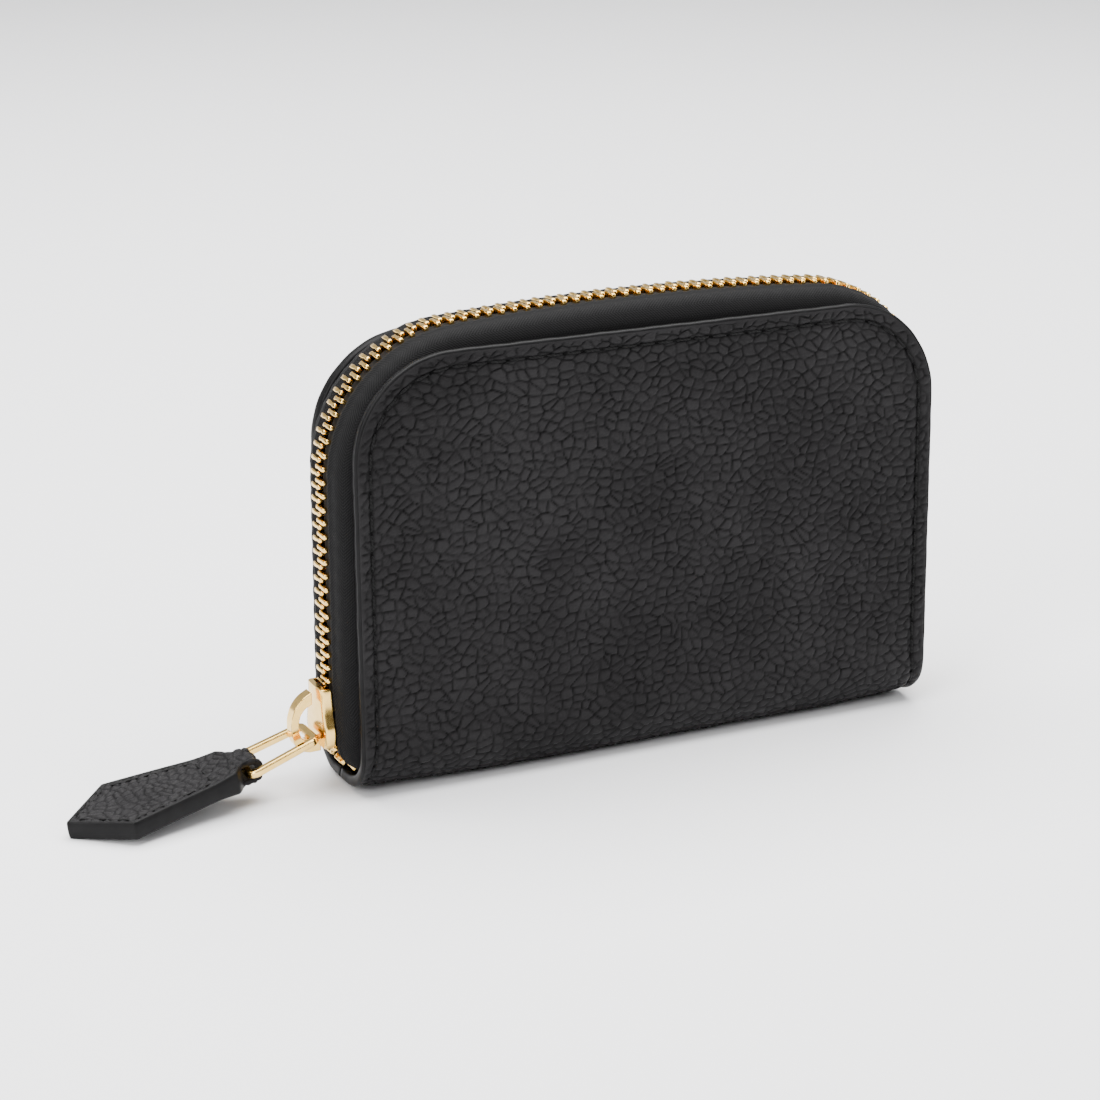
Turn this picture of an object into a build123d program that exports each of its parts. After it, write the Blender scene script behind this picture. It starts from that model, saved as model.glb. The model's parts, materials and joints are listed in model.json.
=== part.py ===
from build123d import *

import os
from math import atan, cos, degrees, radians, sin

# Zip-around leather coin purse, standing on its spine.
# Frame: +Z up, X along the width, -Y towards the front panel. The origin is the middle of the flat strip
# that the spine stands on. All sizes are in millimetres.

# ---------------------------------------------------------------- driving dimensions: the case
WIDTH = 110.0
HEIGHT = 76.0
HALF_DEPTH = 10.25
CORNER_R = 18.0  # top corners of both panels
SPINE_R = 8.0  # outside of the bend from a panel into the spine
LEATHER_T = 1.2
BOARD_T = 0.5  # stiffening board, and the zip tape sewn in beside it
LINING_T = 0.6
LINING_INSET = 2.0  # the lining stops short of the panel's edge
BOARD_INSET = 9.0
BOARD_FOOT = 11.0  # height where the boards start, above the spine's bend
HINGE_TURN = 45.0  # degrees round the spine's bend where the front half is taken to turn

# ---------------------------------------------------------------- driving dimensions: the zip
SIDE_STAND = 2.0  # how far the chain stands outside the panels at the sides
CROWN_RISE = 1.3  # extra rise of the chain at the middle of the top
CHAIN_CORNER_R = 24.0
CHAIN_CORNER_Z = 54.5
TAIL_R = 4.5  # the chain's ends turn in over the spine
TAIL_Z = 4.6
TAIL_RUN = 3.0
TAPE_T = 0.5
TAPE_EDGE_Y = 1.2  # edge of each tape, from the middle of the chain
TAPE_BEND_R = 2.0
TAPE_TUCK = 8.0  # depth of tape from the chain down between leather and lining
TOOTH_PITCH = 2.3
TOOTH_T = 2.0
TOOTH_LEG_Y = 2.7
TOOTH_HEAD_Y = 0.75
TOOTH_GAP = 0.12  # between a tooth's clamp and the tape in it
SLIDER_FOOT_Z = 8.0
SLIDER_LENGTH = 10.6
PLATE_T = 1.0
CHANNEL_HALF = 1.2  # from the chain's middle plane to the inside of each plate
SLIT_HALF = 0.45  # half the gap between the lips that the tape runs in

# ---------------------------------------------------------------- driving dimensions: the pull
RING_PIVOT = (-60.6, 10.1)  # X, Z of the ring's short bar, inside the crown
RING_REACH = 12.4  # from the short bar to the long bar
RING_DROP = 19.0  # degrees below the horizontal
RING_WIRE_W = 1.4
RING_WIRE_T = 1.3
TAB_DROP = 8.5  # degrees below the horizontal
TAB_LENGTH = 31.7  # from the ring's long bar to the tip
TAB_SHOULDER = 22.4  # from the ring's long bar to the widest place
TAB_HALF_FOLD = 3.15  # the fold round the ring's bar is narrower, so that the ring's sides pass
TAB_HALF_EYE = 5.2
TAB_NOTCH = 1.3  # from the ring's long bar to the shoulders of the notches
TAB_HALF_WIDE = 9.2
TAB_LAYER_T = 1.1
TAB_FILLER_T = 0.5
EYE_R = 1.15

STITCH_PITCH = 3.4
STITCH_INSET = 2.8

spine_flat_half = HALF_DEPTH - SPINE_R
chain_x = WIDTH / 2 + SIDE_STAND
corner_x = chain_x - CHAIN_CORNER_R
crown_half_angle = 2 * atan(CROWN_RISE / corner_x)
crown_r = corner_x / sin(crown_half_angle) + CHAIN_CORNER_R
tape_y = HALF_DEPTH - LEATHER_T - TAPE_T / 2

os.makedirs("parts", exist_ok=True)


def save(piece, name):
    """Labels a finished piece and writes it to its own STEP file."""
    piece.label = name
    export_step(piece, f"parts/{name}.step")


# ================================================================ case: shared profiles
def wall_section(outside, inside):
    """U-shaped face on the current YZ sketch, between two depths below the case's outer surface."""
    with BuildLine() as section:
        for depth in (outside, inside):
            side = HALF_DEPTH - depth
            bend = SPINE_R - depth
            Line((-side, HEIGHT + 1), (-side, SPINE_R))
            CenterArc((-spine_flat_half, SPINE_R), bend, 180, 90)
            Line((-spine_flat_half, depth), (spine_flat_half, depth))
            CenterArc((spine_flat_half, SPINE_R), bend, 270, 90)
            Line((side, SPINE_R), (side, HEIGHT + 1))
        for way in (-1, 1):
            Line((way * (HALF_DEPTH - outside), HEIGHT + 1), (way * (HALF_DEPTH - inside), HEIGHT + 1))
    make_face(section.edges())


def panel_outline(inset, foot=-1.0):
    """Outline of a panel on the current XZ sketch: square at the foot, round at the top corners."""
    top = HEIGHT - inset
    with Locations((0, (top + foot) / 2)):
        outline = Rectangle(WIDTH - 2 * inset, top - foot)
    fillet(outline.vertices().group_by(Axis.Y)[-1], CORNER_R - inset)


def front_region():
    """The side of the case that turns with the front panel, on the current YZ sketch."""
    reach = 20.0
    turn = radians(HINGE_TURN)
    with BuildLine() as region:
        Polyline(
            (-spine_flat_half, SPINE_R),
            (-spine_flat_half - reach * cos(turn), SPINE_R - reach * sin(turn)),
            (-spine_flat_half - 2 * reach, SPINE_R - reach * sin(turn)),
            (-spine_flat_half - 2 * reach, HEIGHT + 5),
            (-spine_flat_half, HEIGHT + 5),
            close=True,
        )
    make_face(region.edges())


def case_layer(outside, inside, inset, front, foot=-1.0):
    """One layer of the case wall, either its front part or the back and spine."""
    with BuildPart() as layer:
        with BuildSketch(Plane.YZ):
            wall_section(outside, inside)
        extrude(amount=WIDTH / 2, both=True)
        with BuildSketch(Plane.XZ):
            panel_outline(inset, foot)
        extrude(amount=2 * HALF_DEPTH, both=True, mode=Mode.INTERSECT)
        with BuildSketch(Plane.YZ):
            front_region()
        extrude(amount=WIDTH, both=True, mode=Mode.INTERSECT if front else Mode.SUBTRACT)
    return layer.part


lining_out = LEATHER_T + BOARD_T
lining_in = lining_out + LINING_T

front_leather = case_layer(0, LEATHER_T, 0, front=True)
back_leather = case_layer(0, LEATHER_T, 0, front=False)
front_board = case_layer(LEATHER_T, lining_out, BOARD_INSET, front=True, foot=BOARD_FOOT)
back_board = case_layer(LEATHER_T, lining_out, BOARD_INSET, front=False, foot=BOARD_FOOT)
front_lining = case_layer(lining_out, lining_in, LINING_INSET, front=True)
back_lining = case_layer(lining_out, lining_in, LINING_INSET, front=False)

save(front_leather, "front_leather")
save(back_leather, "back_leather")
save(front_board, "front_stiffener")
save(back_board, "back_stiffener")
save(front_lining, "front_lining")
save(back_lining, "back_lining")

# ================================================================ card pocket on the back lining
POCKET_T = 0.7
POCKET_HALF = 45.0
POCKET_TOP = 58.0
pocket_face = HALF_DEPTH - lining_in

with BuildPart() as card_pocket:
    with BuildSketch(Plane.XZ.offset(-pocket_face)):
        with Locations((0, (POCKET_TOP + SPINE_R) / 2)):
            RectangleRounded(2 * POCKET_HALF, POCKET_TOP - SPINE_R, 2.0)
    extrude(amount=POCKET_T)
save(card_pocket.part, "card_pocket")

# ================================================================ gussets
GUSSET_OUT_X = 47.5
GUSSET_FOLD_X = 40.0
GUSSET_T = 0.5
GUSSET_FOOT = 3.2
GUSSET_TOP = 62.0
gusset_edge_y = pocket_face - 0.1


def gusset(side):
    """Sheet folded inwards between the two linings, closing one end of the coin space."""
    edge = 1.6  # flat tab that is sewn to each lining
    with BuildPart() as sheet:
        with BuildSketch(Plane.XY.offset(GUSSET_FOOT)):
            with BuildLine():
                fold = Polyline(
                    (side * (GUSSET_OUT_X + edge), -gusset_edge_y + GUSSET_T / 2),
                    (side * GUSSET_OUT_X, -gusset_edge_y + GUSSET_T / 2),
                    (side * GUSSET_FOLD_X, 0),
                    (side * GUSSET_OUT_X, gusset_edge_y - GUSSET_T / 2),
                    (side * (GUSSET_OUT_X + edge), gusset_edge_y - GUSSET_T / 2),
                )
                offset(fold, amount=GUSSET_T / 2, side=Side.BOTH, kind=Kind.INTERSECTION, mode=Mode.REPLACE)
            make_face()
        extrude(amount=GUSSET_TOP - GUSSET_FOOT)
        with BuildSketch(Plane.YZ):
            wall_section(0, lining_in + 0.1)
        extrude(amount=WIDTH, both=True, mode=Mode.SUBTRACT)
    return sheet.part


save(gusset(-1), "left_gusset")
save(gusset(1), "right_gusset")

# ================================================================ chain path
crown_z = CHAIN_CORNER_Z + CHAIN_CORNER_R + corner_x * (1 - cos(crown_half_angle)) / sin(crown_half_angle)
crown_centre_z = crown_z - crown_r
corner_sweep = 90 - degrees(crown_half_angle)
tail_centre_z = TAIL_Z + TAIL_R
tail_x = chain_x - TAIL_R

with BuildLine(Plane.XZ) as upper_path:
    Line((-chain_x, tail_centre_z), (-chain_x, CHAIN_CORNER_Z))
    CenterArc((-corner_x, CHAIN_CORNER_Z), CHAIN_CORNER_R, 180, -corner_sweep)
    CenterArc((0, crown_centre_z), crown_r, 90 + degrees(crown_half_angle), -2 * degrees(crown_half_angle))
    CenterArc((corner_x, CHAIN_CORNER_Z), CHAIN_CORNER_R, 90 - degrees(crown_half_angle), -corner_sweep)
    Line((chain_x, CHAIN_CORNER_Z), (chain_x, tail_centre_z))

with BuildLine(Plane.XZ) as left_tail:
    Line((-tail_x + TAIL_RUN, TAIL_Z), (-tail_x, TAIL_Z))
    CenterArc((-tail_x, tail_centre_z), TAIL_R, 270, -90)

with BuildLine(Plane.XZ) as right_tail:
    CenterArc((tail_x, tail_centre_z), TAIL_R, 0, -90)
    Line((tail_x, TAIL_Z), (tail_x - TAIL_RUN, TAIL_Z))

tail_wire = left_tail.wires()[0]
upper_wire = upper_path.wires()[0]
right_tail_wire = right_tail.wires()[0]
tail_length = tail_wire.length
chain_length = upper_wire.length + 2 * tail_length


def chain_plane(distance, shift=0.0):
    """Plane on the chain: X along it, Y across it, Z outwards. distance runs from the slider's end."""
    if distance < tail_length:
        wire, along = tail_wire, distance
    elif distance < tail_length + upper_wire.length:
        wire, along = upper_wire, distance - tail_length
    else:
        wire, along = right_tail_wire, distance - tail_length - upper_wire.length
    point = wire.position_at(along, position_mode=PositionMode.LENGTH)
    tangent = wire.tangent_at(along, position_mode=PositionMode.LENGTH)
    outward = tangent.cross(Vector(0, 1, 0))
    return Plane(origin=point + Vector(0, shift, 0), x_dir=tangent, z_dir=outward)


# How far each row stands off the middle below the slider's wedge: height on the left side, shift.
SPREAD = ((17.5, 0.0), (15.0, 0.8), (11.0, 1.6), (7.2, 1.65), (5.0, 2.8))


def row_shift(distance):
    """Sideways shift of a row of teeth at a distance along the chain, from the table above."""
    height = chain_plane(distance).origin.Z
    if distance > tail_length + SPREAD[0][0] - tail_centre_z:
        return 0.0
    for (high, near), (low, far) in zip(SPREAD, SPREAD[1:]):
        if height >= low:
            return near + (far - near) * (high - height) / (high - low)
    return SPREAD[-1][1]


# ================================================================ zip tapes
def tape_section(plane, side):
    """Cross-section of a tape: flat beside the chain, then bent down between leather and lining."""
    half = TAPE_T / 2
    turn_y = tape_y - TAPE_BEND_R
    with BuildSketch(plane) as section:
        with BuildLine():
            Line((side * TAPE_EDGE_Y, half), (side * turn_y, half))
            CenterArc((side * turn_y, -TAPE_BEND_R), TAPE_BEND_R + half, 90, -side * 90)
            Line((side * (tape_y + half), -TAPE_BEND_R), (side * (tape_y + half), -TAPE_TUCK))
            Line((side * (tape_y + half), -TAPE_TUCK), (side * (tape_y - half), -TAPE_TUCK))
            Line((side * (tape_y - half), -TAPE_TUCK), (side * (tape_y - half), -TAPE_BEND_R))
            CenterArc((side * turn_y, -TAPE_BEND_R), TAPE_BEND_R - half, 90 - side * 90, side * 90)
            Line((side * turn_y, -half), (side * TAPE_EDGE_Y, -half))
            Line((side * TAPE_EDGE_Y, -half), (side * TAPE_EDGE_Y, half))
        make_face()
    return section.sketch


def section_plane(chain):
    """Sketch plane across the chain, with its X along the row frame's Y and its Y outwards."""
    return Plane(origin=chain.origin, x_dir=(0, 1, 0), z_dir=chain.x_dir)


def zip_tape(side):
    """One tape: the long run round three sides and a narrow tail at each end."""
    tail_near = SPREAD[-1][1] + TAPE_EDGE_Y
    tail_far = tape_y - TAPE_BEND_R
    with BuildPart() as tape:
        sweep(sections=tape_section(section_plane(chain_plane(tail_length)), side), path=upper_wire)
        for wire, start in ((tail_wire, 0.0), (right_tail_wire, tail_length + upper_wire.length + 1e-6)):
            with BuildSketch(section_plane(chain_plane(start))):
                with Locations((side * (tail_near + tail_far) / 2, 0)):
                    Rectangle(tail_far - tail_near, TAPE_T)
            sweep(path=wire)
        apart = [(side * (TAPE_EDGE_Y + shift), height) for height, shift in SPREAD[:3]]
        with BuildSketch(Plane.YZ.offset(-chain_x - 2)):
            with BuildLine():
                Polyline(
                    (side * (TAPE_EDGE_Y - 1), SPREAD[0][0]),
                    *apart,
                    (side * tail_near, tail_centre_z - 1),
                    (side * (TAPE_EDGE_Y - 1), tail_centre_z - 1),
                    close=True,
                )
            make_face()
        extrude(amount=4, mode=Mode.SUBTRACT)
    return tape.part


save(zip_tape(-1), "front_zip_tape")
save(zip_tape(1), "back_zip_tape")

# ================================================================ teeth and stops
TEETH_START = 4.5
TEETH_END_GAP = 9.0

with BuildPart() as tooth:
    with BuildSketch(Plane.XY.offset(-TOOTH_T / 2)):
        with Locations((0, (TOOTH_LEG_Y + 1.0) / 2)):
            Rectangle(1.1, TOOTH_LEG_Y - 1.0)
        with Locations((0, 0.5)):
            Rectangle(0.8, 1.2)
        with Locations((0, (0.15 - TOOTH_HEAD_Y) / 2)):
            RectangleRounded(1.02, TOOTH_HEAD_Y + 0.15, 0.25)
    extrude(amount=TOOTH_T)
    with BuildSketch(Plane.XY.offset(-TAPE_T / 2 - TOOTH_GAP)):
        with Locations((0, TAPE_EDGE_Y - 2 * TOOTH_GAP + 1.0)):
            Rectangle(2, 2)
    extrude(amount=TAPE_T + 2 * TOOTH_GAP, mode=Mode.SUBTRACT)


def teeth_row(side):
    """Every tooth of one row. The two rows stand half a pitch apart, so that their heads interlock."""
    first = TEETH_START + (0 if side < 0 else TOOTH_PITCH / 2)
    count = int((chain_length - TEETH_END_GAP - first) / TOOTH_PITCH)
    row = []
    for number in range(count):
        distance = first + number * TOOTH_PITCH
        place = chain_plane(distance, side * row_shift(distance)).location
        turn = Location((0, 0, 0), (0, 0, 180)) if side < 0 else Location()
        row.append(tooth.part.moved(place * turn))
    return Compound(children=row)


save(teeth_row(-1), "front_teeth")
save(teeth_row(1), "back_teeth")


def stop_block(distance, shift, width, length, name):
    """A small metal block crimped on the chain."""
    with BuildPart() as block:
        with BuildSketch(chain_plane(distance, shift).offset(-TOOTH_T / 2)):
            RectangleRounded(length, width, 0.4)
        extrude(amount=TOOTH_T)
    save(block.part, name)


TOP_STOP_AT = 2.2
STOP_W = 2.6
STOP_L = 2.0
stop_y = SPREAD[-1][1] + TAPE_EDGE_Y - STOP_W / 2
stop_block(TOP_STOP_AT, -stop_y, STOP_W, STOP_L, "front_top_stop")
stop_block(TOP_STOP_AT, stop_y, STOP_W, STOP_L, "back_top_stop")
stop_block(chain_length - 6.0, 0, 2 * TOOTH_LEG_Y, STOP_W, "bottom_stop")

# ================================================================ slider
SLIDER_TOP_HALF = 3.8
SLIDER_WIDE_HALF = 5.3
SLIDER_FOOT_HALF = 4.7
SLIDER_WIDE_Z = 3.0  # above the slider's foot
slider_top_z = SLIDER_FOOT_Z + SLIDER_LENGTH


def slider_outline(inset):
    """Shield shape of the slider, on the current YZ sketch."""
    half = (
        (SLIDER_FOOT_HALF, SLIDER_FOOT_Z),
        (SLIDER_WIDE_HALF, SLIDER_FOOT_Z + SLIDER_WIDE_Z),
        (SLIDER_TOP_HALF, slider_top_z),
    )
    points = [(y - inset, z) for y, z in half] + [(inset - y, z) for y, z in reversed(half)]
    with BuildLine() as outline:
        Polyline(*points, close=True)
    make_face(outline.edges())


with BuildPart() as slider_body:
    for start in (-chain_x - CHANNEL_HALF - PLATE_T, -chain_x + CHANNEL_HALF):
        with BuildSketch(Plane.YZ.offset(start)):
            slider_outline(0)
        extrude(amount=PLATE_T)
    fillet(slider_body.edges().filter_by(Axis.X), 0.8)
    for start in (-chain_x - CHANNEL_HALF, -chain_x + SLIT_HALF):
        with BuildSketch(Plane.YZ.offset(start)):
            slider_outline(0.1)
            with BuildLine():
                Polyline(
                    (-SLIDER_TOP_HALF + 0.75, slider_top_z + 1),
                    (-SLIDER_WIDE_HALF + 0.75, SLIDER_FOOT_Z + SLIDER_WIDE_Z),
                    (-SLIDER_WIDE_HALF + 0.75, SLIDER_FOOT_Z - 1),
                    (SLIDER_WIDE_HALF - 0.75, SLIDER_FOOT_Z - 1),
                    (SLIDER_WIDE_HALF - 0.75, SLIDER_FOOT_Z + SLIDER_WIDE_Z),
                    (SLIDER_TOP_HALF - 0.75, slider_top_z + 1),
                    close=True,
                )
            make_face(mode=Mode.SUBTRACT)
        extrude(amount=CHANNEL_HALF - SLIT_HALF)
    with BuildSketch(Plane.YZ.offset(-chain_x - CHANNEL_HALF)):
        with BuildLine():
            Polyline((0, 14.5), (0.5, 11.5), (0.5, 8.8), (-0.5, 8.8), (-0.5, 11.5), close=True)
        make_face()
    extrude(amount=2 * CHANNEL_HALF)
save(slider_body.part, "slider_body")

# The crown is a flat arch that stands on the outer plate and holds the ring.
CROWN_T = 2.4
CROWN_BAND = 1.35
plate_x = -chain_x - CHANNEL_HALF - PLATE_T
crown_foot = SLIDER_FOOT_Z - 0.35
crown_head = slider_top_z - 0.9
crown_out_x = plate_x - 4.7
CROWN_GAP = 0.95  # the crown's upper end stands free of the plate, so that the ring can be hooked in

with BuildPart() as slider_crown:
    with BuildSketch(Plane.XZ.offset(-CROWN_T / 2)):
        with BuildLine():
            head_line = Line((plate_x - CROWN_GAP, crown_head), (plate_x - 1.8, crown_head))
            upper = TangentArc(head_line @ 1, (crown_out_x, crown_head - 3.4), tangent=head_line % 1)
            lower = Line(upper @ 1, (crown_out_x + 0.2, crown_foot + 2.8))
            RadiusArc(lower @ 1, (crown_out_x + 3.0, crown_foot), -2.9)
            Line((crown_out_x + 3.0, crown_foot), (plate_x, crown_foot))
            Line((plate_x, crown_foot), (plate_x, crown_foot + CROWN_BAND))
            Polyline(
                (plate_x, crown_foot + CROWN_BAND),
                (crown_out_x + CROWN_BAND + 1.2, crown_foot + CROWN_BAND),
                (crown_out_x + CROWN_BAND + 0.1, crown_foot + CROWN_BAND + 1.4),
                (crown_out_x + CROWN_BAND, crown_head - CROWN_BAND - 2.2),
                (plate_x - 1.8, crown_head - CROWN_BAND),
                (plate_x - CROWN_GAP, crown_head - CROWN_BAND),
                (plate_x - CROWN_GAP, crown_head),
            )
        make_face()
    extrude(amount=CROWN_T)
save(slider_crown.part, "slider_crown")

# ================================================================ pull ring
RING_NEAR_HALF = 4.2  # half of the outer width at the crown's end
RING_FAR_HALF = 5.0
ring_plane = Plane(
    origin=(RING_PIVOT[0], 0, RING_PIVOT[1]),
    x_dir=(-cos(radians(RING_DROP)), 0, -sin(radians(RING_DROP))),
    z_dir=(sin(radians(RING_DROP)), 0, -cos(radians(RING_DROP))),
)
tab_pivot = (
    RING_PIVOT[0] - RING_REACH * cos(radians(RING_DROP)),
    RING_PIVOT[1] - RING_REACH * sin(radians(RING_DROP)),
)

with BuildPart() as pull_ring:
    with BuildSketch(ring_plane.offset(-RING_WIRE_T / 2)):
        with BuildLine():
            Polyline(
                (-RING_WIRE_W / 2, -RING_NEAR_HALF),
                (-RING_WIRE_W / 2, RING_NEAR_HALF),
                (RING_REACH + RING_WIRE_W / 2, RING_FAR_HALF),
                (RING_REACH + RING_WIRE_W / 2, -RING_FAR_HALF),
                close=True,
            )
        outer = make_face()
        fillet(outer.vertices(), 1.5)
        offset(outer, amount=-RING_WIRE_W, mode=Mode.SUBTRACT)
    extrude(amount=RING_WIRE_T)
save(pull_ring.part, "pull_ring")

# ================================================================ pull tab
tab_half_t = TAB_LAYER_T + TAB_FILLER_T / 2
tab_eye_out = EYE_R + TAB_LAYER_T
EYE_STRETCH = 0.6  # the eye is this much longer than round, towards the slider
BODY_START = 6.5  # where the two layers lie flat together, from the ring's long bar
tab_side_plane = Plane(
    origin=(tab_pivot[0], 0, tab_pivot[1]),
    x_dir=(-cos(radians(TAB_DROP)), 0, -sin(radians(TAB_DROP))),
    z_dir=(0, -1, 0),
)
tab_flat_plane = Plane(
    origin=(tab_pivot[0], 0, tab_pivot[1]),
    x_dir=(-cos(radians(TAB_DROP)), 0, -sin(radians(TAB_DROP))),
    z_dir=(sin(radians(TAB_DROP)), 0, -cos(radians(TAB_DROP))),
)


def tab_outline(start):
    """Plan of the tab on its own plane: a narrow fold, then widening to the shoulder, then a point."""
    slope = (TAB_HALF_WIDE - TAB_HALF_EYE) / (TAB_SHOULDER - TAB_NOTCH)
    if start < TAB_NOTCH:
        points = [(start, TAB_HALF_FOLD), (TAB_NOTCH, TAB_HALF_FOLD), (TAB_NOTCH, TAB_HALF_EYE)]
    else:
        points = [(start, TAB_HALF_EYE + slope * (start - TAB_NOTCH))]
    points.append((TAB_SHOULDER, TAB_HALF_WIDE))
    mirrored = [(x, -y) for x, y in reversed(points)]
    with BuildLine() as outline:
        Polyline(*points, (TAB_LENGTH, 0), *mirrored, close=True)
    make_face(outline.edges())


with BuildPart() as pull_tab_strap:
    with BuildSketch(tab_side_plane.offset(-TAB_HALF_WIDE)):
        with Locations((-EYE_STRETCH, 0)):
            Circle(tab_eye_out)
        with BuildLine():
            Polyline(
                (0, tab_eye_out),
                (BODY_START, tab_half_t),
                (TAB_LENGTH, tab_half_t),
                (TAB_LENGTH, -tab_half_t),
                (BODY_START, -tab_half_t),
                (0, -tab_eye_out),
                (-EYE_STRETCH, -tab_eye_out),
                (-EYE_STRETCH, tab_eye_out),
                close=True,
            )
        make_face()
        with Locations((-EYE_STRETCH / 2, 0)):
            SlotCenterToCenter(EYE_STRETCH, 2 * EYE_R, mode=Mode.SUBTRACT)
        with BuildLine():
            Polyline(
                (0, EYE_R),
                (BODY_START - 1.0, TAB_FILLER_T / 2),
                (TAB_LENGTH, TAB_FILLER_T / 2),
                (TAB_LENGTH, -TAB_FILLER_T / 2),
                (BODY_START - 1.0, -TAB_FILLER_T / 2),
                (0, -EYE_R),
                close=True,
            )
        make_face(mode=Mode.SUBTRACT)
    extrude(amount=2 * TAB_HALF_WIDE)
    with BuildSketch(tab_flat_plane.offset(-5)):
        tab_outline(-EYE_STRETCH - tab_eye_out)
    extrude(amount=10, mode=Mode.INTERSECT)
save(pull_tab_strap.part, "pull_tab_strap")

with BuildPart() as pull_tab_filler:
    with BuildSketch(tab_flat_plane.offset(-TAB_FILLER_T / 2)):
        tab_outline(BODY_START - 1.0)
    extrude(amount=TAB_FILLER_T)
save(pull_tab_filler.part, "pull_tab_filler")

# ================================================================ stitching
STITCH_LENGTH = 2.5
STITCH_W = 0.55
STITCH_T = 0.3

with BuildPart() as stitch:
    with BuildSketch():
        SlotOverall(STITCH_LENGTH, STITCH_W)
    extrude(amount=STITCH_T)


def stitches_along(wire, to_plane, start, end):
    """Stitches at an even pitch along a wire. to_plane turns a point and a direction into a plane."""
    count = round((end - start) / STITCH_PITCH)
    made = []
    for number in range(count + 1):
        along = start + (end - start) * number / count
        point = wire.position_at(along, position_mode=PositionMode.LENGTH)
        heading = wire.tangent_at(along, position_mode=PositionMode.LENGTH)
        made.append(stitch.part.moved(to_plane(point, heading).location))
    return made


with BuildLine(Plane.XZ) as seam:
    seam_half = WIDTH / 2 - STITCH_INSET
    seam_top = HEIGHT - STITCH_INSET
    seam_r = CORNER_R - STITCH_INSET
    Line((-seam_half, SPINE_R), (-seam_half, seam_top - seam_r))
    RadiusArc((-seam_half, seam_top - seam_r), (seam_r - seam_half, seam_top), seam_r)
    Line((seam_r - seam_half, seam_top), (seam_half - seam_r, seam_top))
    RadiusArc((seam_half - seam_r, seam_top), (seam_half, seam_top - seam_r), seam_r)
    Line((seam_half, seam_top - seam_r), (seam_half, SPINE_R))
seam_wire = seam.wires()[0]


def panel_stitching(side):
    """The row of stitches round one panel, lying on its outer face."""

    def on_face(point, heading):
        return Plane(
            origin=(point.X, side * HALF_DEPTH, point.Z),
            x_dir=heading,
            z_dir=(0, side, 0),
        )

    end_gap = STITCH_LENGTH / 2
    return Compound(children=stitches_along(seam_wire, on_face, end_gap, seam_wire.length - end_gap))


save(panel_stitching(-1), "front_stitching")
save(panel_stitching(1), "back_stitching")

TAB_SEAM_INSET = 1.4
with BuildLine() as tab_seam:
    tab_slope = (TAB_HALF_WIDE - TAB_HALF_EYE) / (TAB_SHOULDER - TAB_NOTCH)
    seam_start = BODY_START + 0.6
    seam_start_half = TAB_HALF_EYE - TAB_SEAM_INSET + tab_slope * (seam_start - TAB_NOTCH)
    Polyline(
        (seam_start, -seam_start_half),
        (TAB_SHOULDER - 0.4, TAB_SEAM_INSET - TAB_HALF_WIDE),
        (TAB_LENGTH - 1.9, 0),
        (TAB_SHOULDER - 0.4, TAB_HALF_WIDE - TAB_SEAM_INSET),
        (seam_start, seam_start_half),
        close=True,
    )
tab_seam_edges = tab_seam.edges()


def tab_stitching():
    """Stitches on both faces of the tab, along its edges and across it beside the eye."""
    made = []
    for face in (-1, 1):

        def on_tab(point, heading, face=face):
            base = tab_flat_plane.offset(face * tab_half_t)
            return Plane(
                origin=base.from_local_coords(point),
                x_dir=base.from_local_coords(heading) - base.origin,
                z_dir=base.z_dir * face,
            )

        for edge in tab_seam_edges:
            made += stitches_along(edge, on_tab, 1.7, edge.length - 1.7)
    return Compound(children=made)


save(tab_stitching(), "tab_stitching")

hinge = radians(HINGE_TURN)
print("case hinge Y Z", -spine_flat_half - SPINE_R * cos(hinge), SPINE_R - SPINE_R * sin(hinge))
print("ring pivot", RING_PIVOT, "tab pivot", tab_pivot, "chain length", chain_length)
print("tab foot Z", pull_tab_strap.part.bounding_box().min.Z, "top of chain", crown_z)
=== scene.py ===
import json
from math import atan, atan2, ceil, cos, hypot, pi, radians, sin, sqrt

import bpy
import numpy as np
from mathutils import Matrix, Vector


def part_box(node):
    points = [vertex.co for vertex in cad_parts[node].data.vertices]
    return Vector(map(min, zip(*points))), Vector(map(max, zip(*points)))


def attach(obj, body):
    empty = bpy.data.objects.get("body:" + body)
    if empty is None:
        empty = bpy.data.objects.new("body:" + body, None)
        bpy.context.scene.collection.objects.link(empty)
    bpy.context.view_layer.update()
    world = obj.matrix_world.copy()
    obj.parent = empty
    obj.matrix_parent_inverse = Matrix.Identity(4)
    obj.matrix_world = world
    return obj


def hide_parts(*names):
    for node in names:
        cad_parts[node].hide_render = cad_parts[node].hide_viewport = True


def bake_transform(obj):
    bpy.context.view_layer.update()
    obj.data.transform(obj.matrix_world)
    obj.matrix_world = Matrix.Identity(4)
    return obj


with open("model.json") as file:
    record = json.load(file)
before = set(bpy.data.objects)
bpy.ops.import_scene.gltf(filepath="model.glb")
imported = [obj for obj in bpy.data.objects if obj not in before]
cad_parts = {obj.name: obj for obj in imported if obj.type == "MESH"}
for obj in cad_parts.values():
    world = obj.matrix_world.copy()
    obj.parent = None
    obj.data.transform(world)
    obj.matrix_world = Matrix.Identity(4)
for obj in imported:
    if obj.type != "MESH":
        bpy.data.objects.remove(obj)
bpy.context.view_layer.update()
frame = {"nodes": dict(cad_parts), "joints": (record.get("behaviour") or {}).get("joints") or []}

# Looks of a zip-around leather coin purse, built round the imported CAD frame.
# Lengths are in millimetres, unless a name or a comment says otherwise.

MM = 0.001  # metres in a millimetre


def cad(node):
    """Lowest and highest corners of a CAD node, in millimetres."""
    low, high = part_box(node)
    return np.array(low) / MM, np.array(high) / MM


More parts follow.
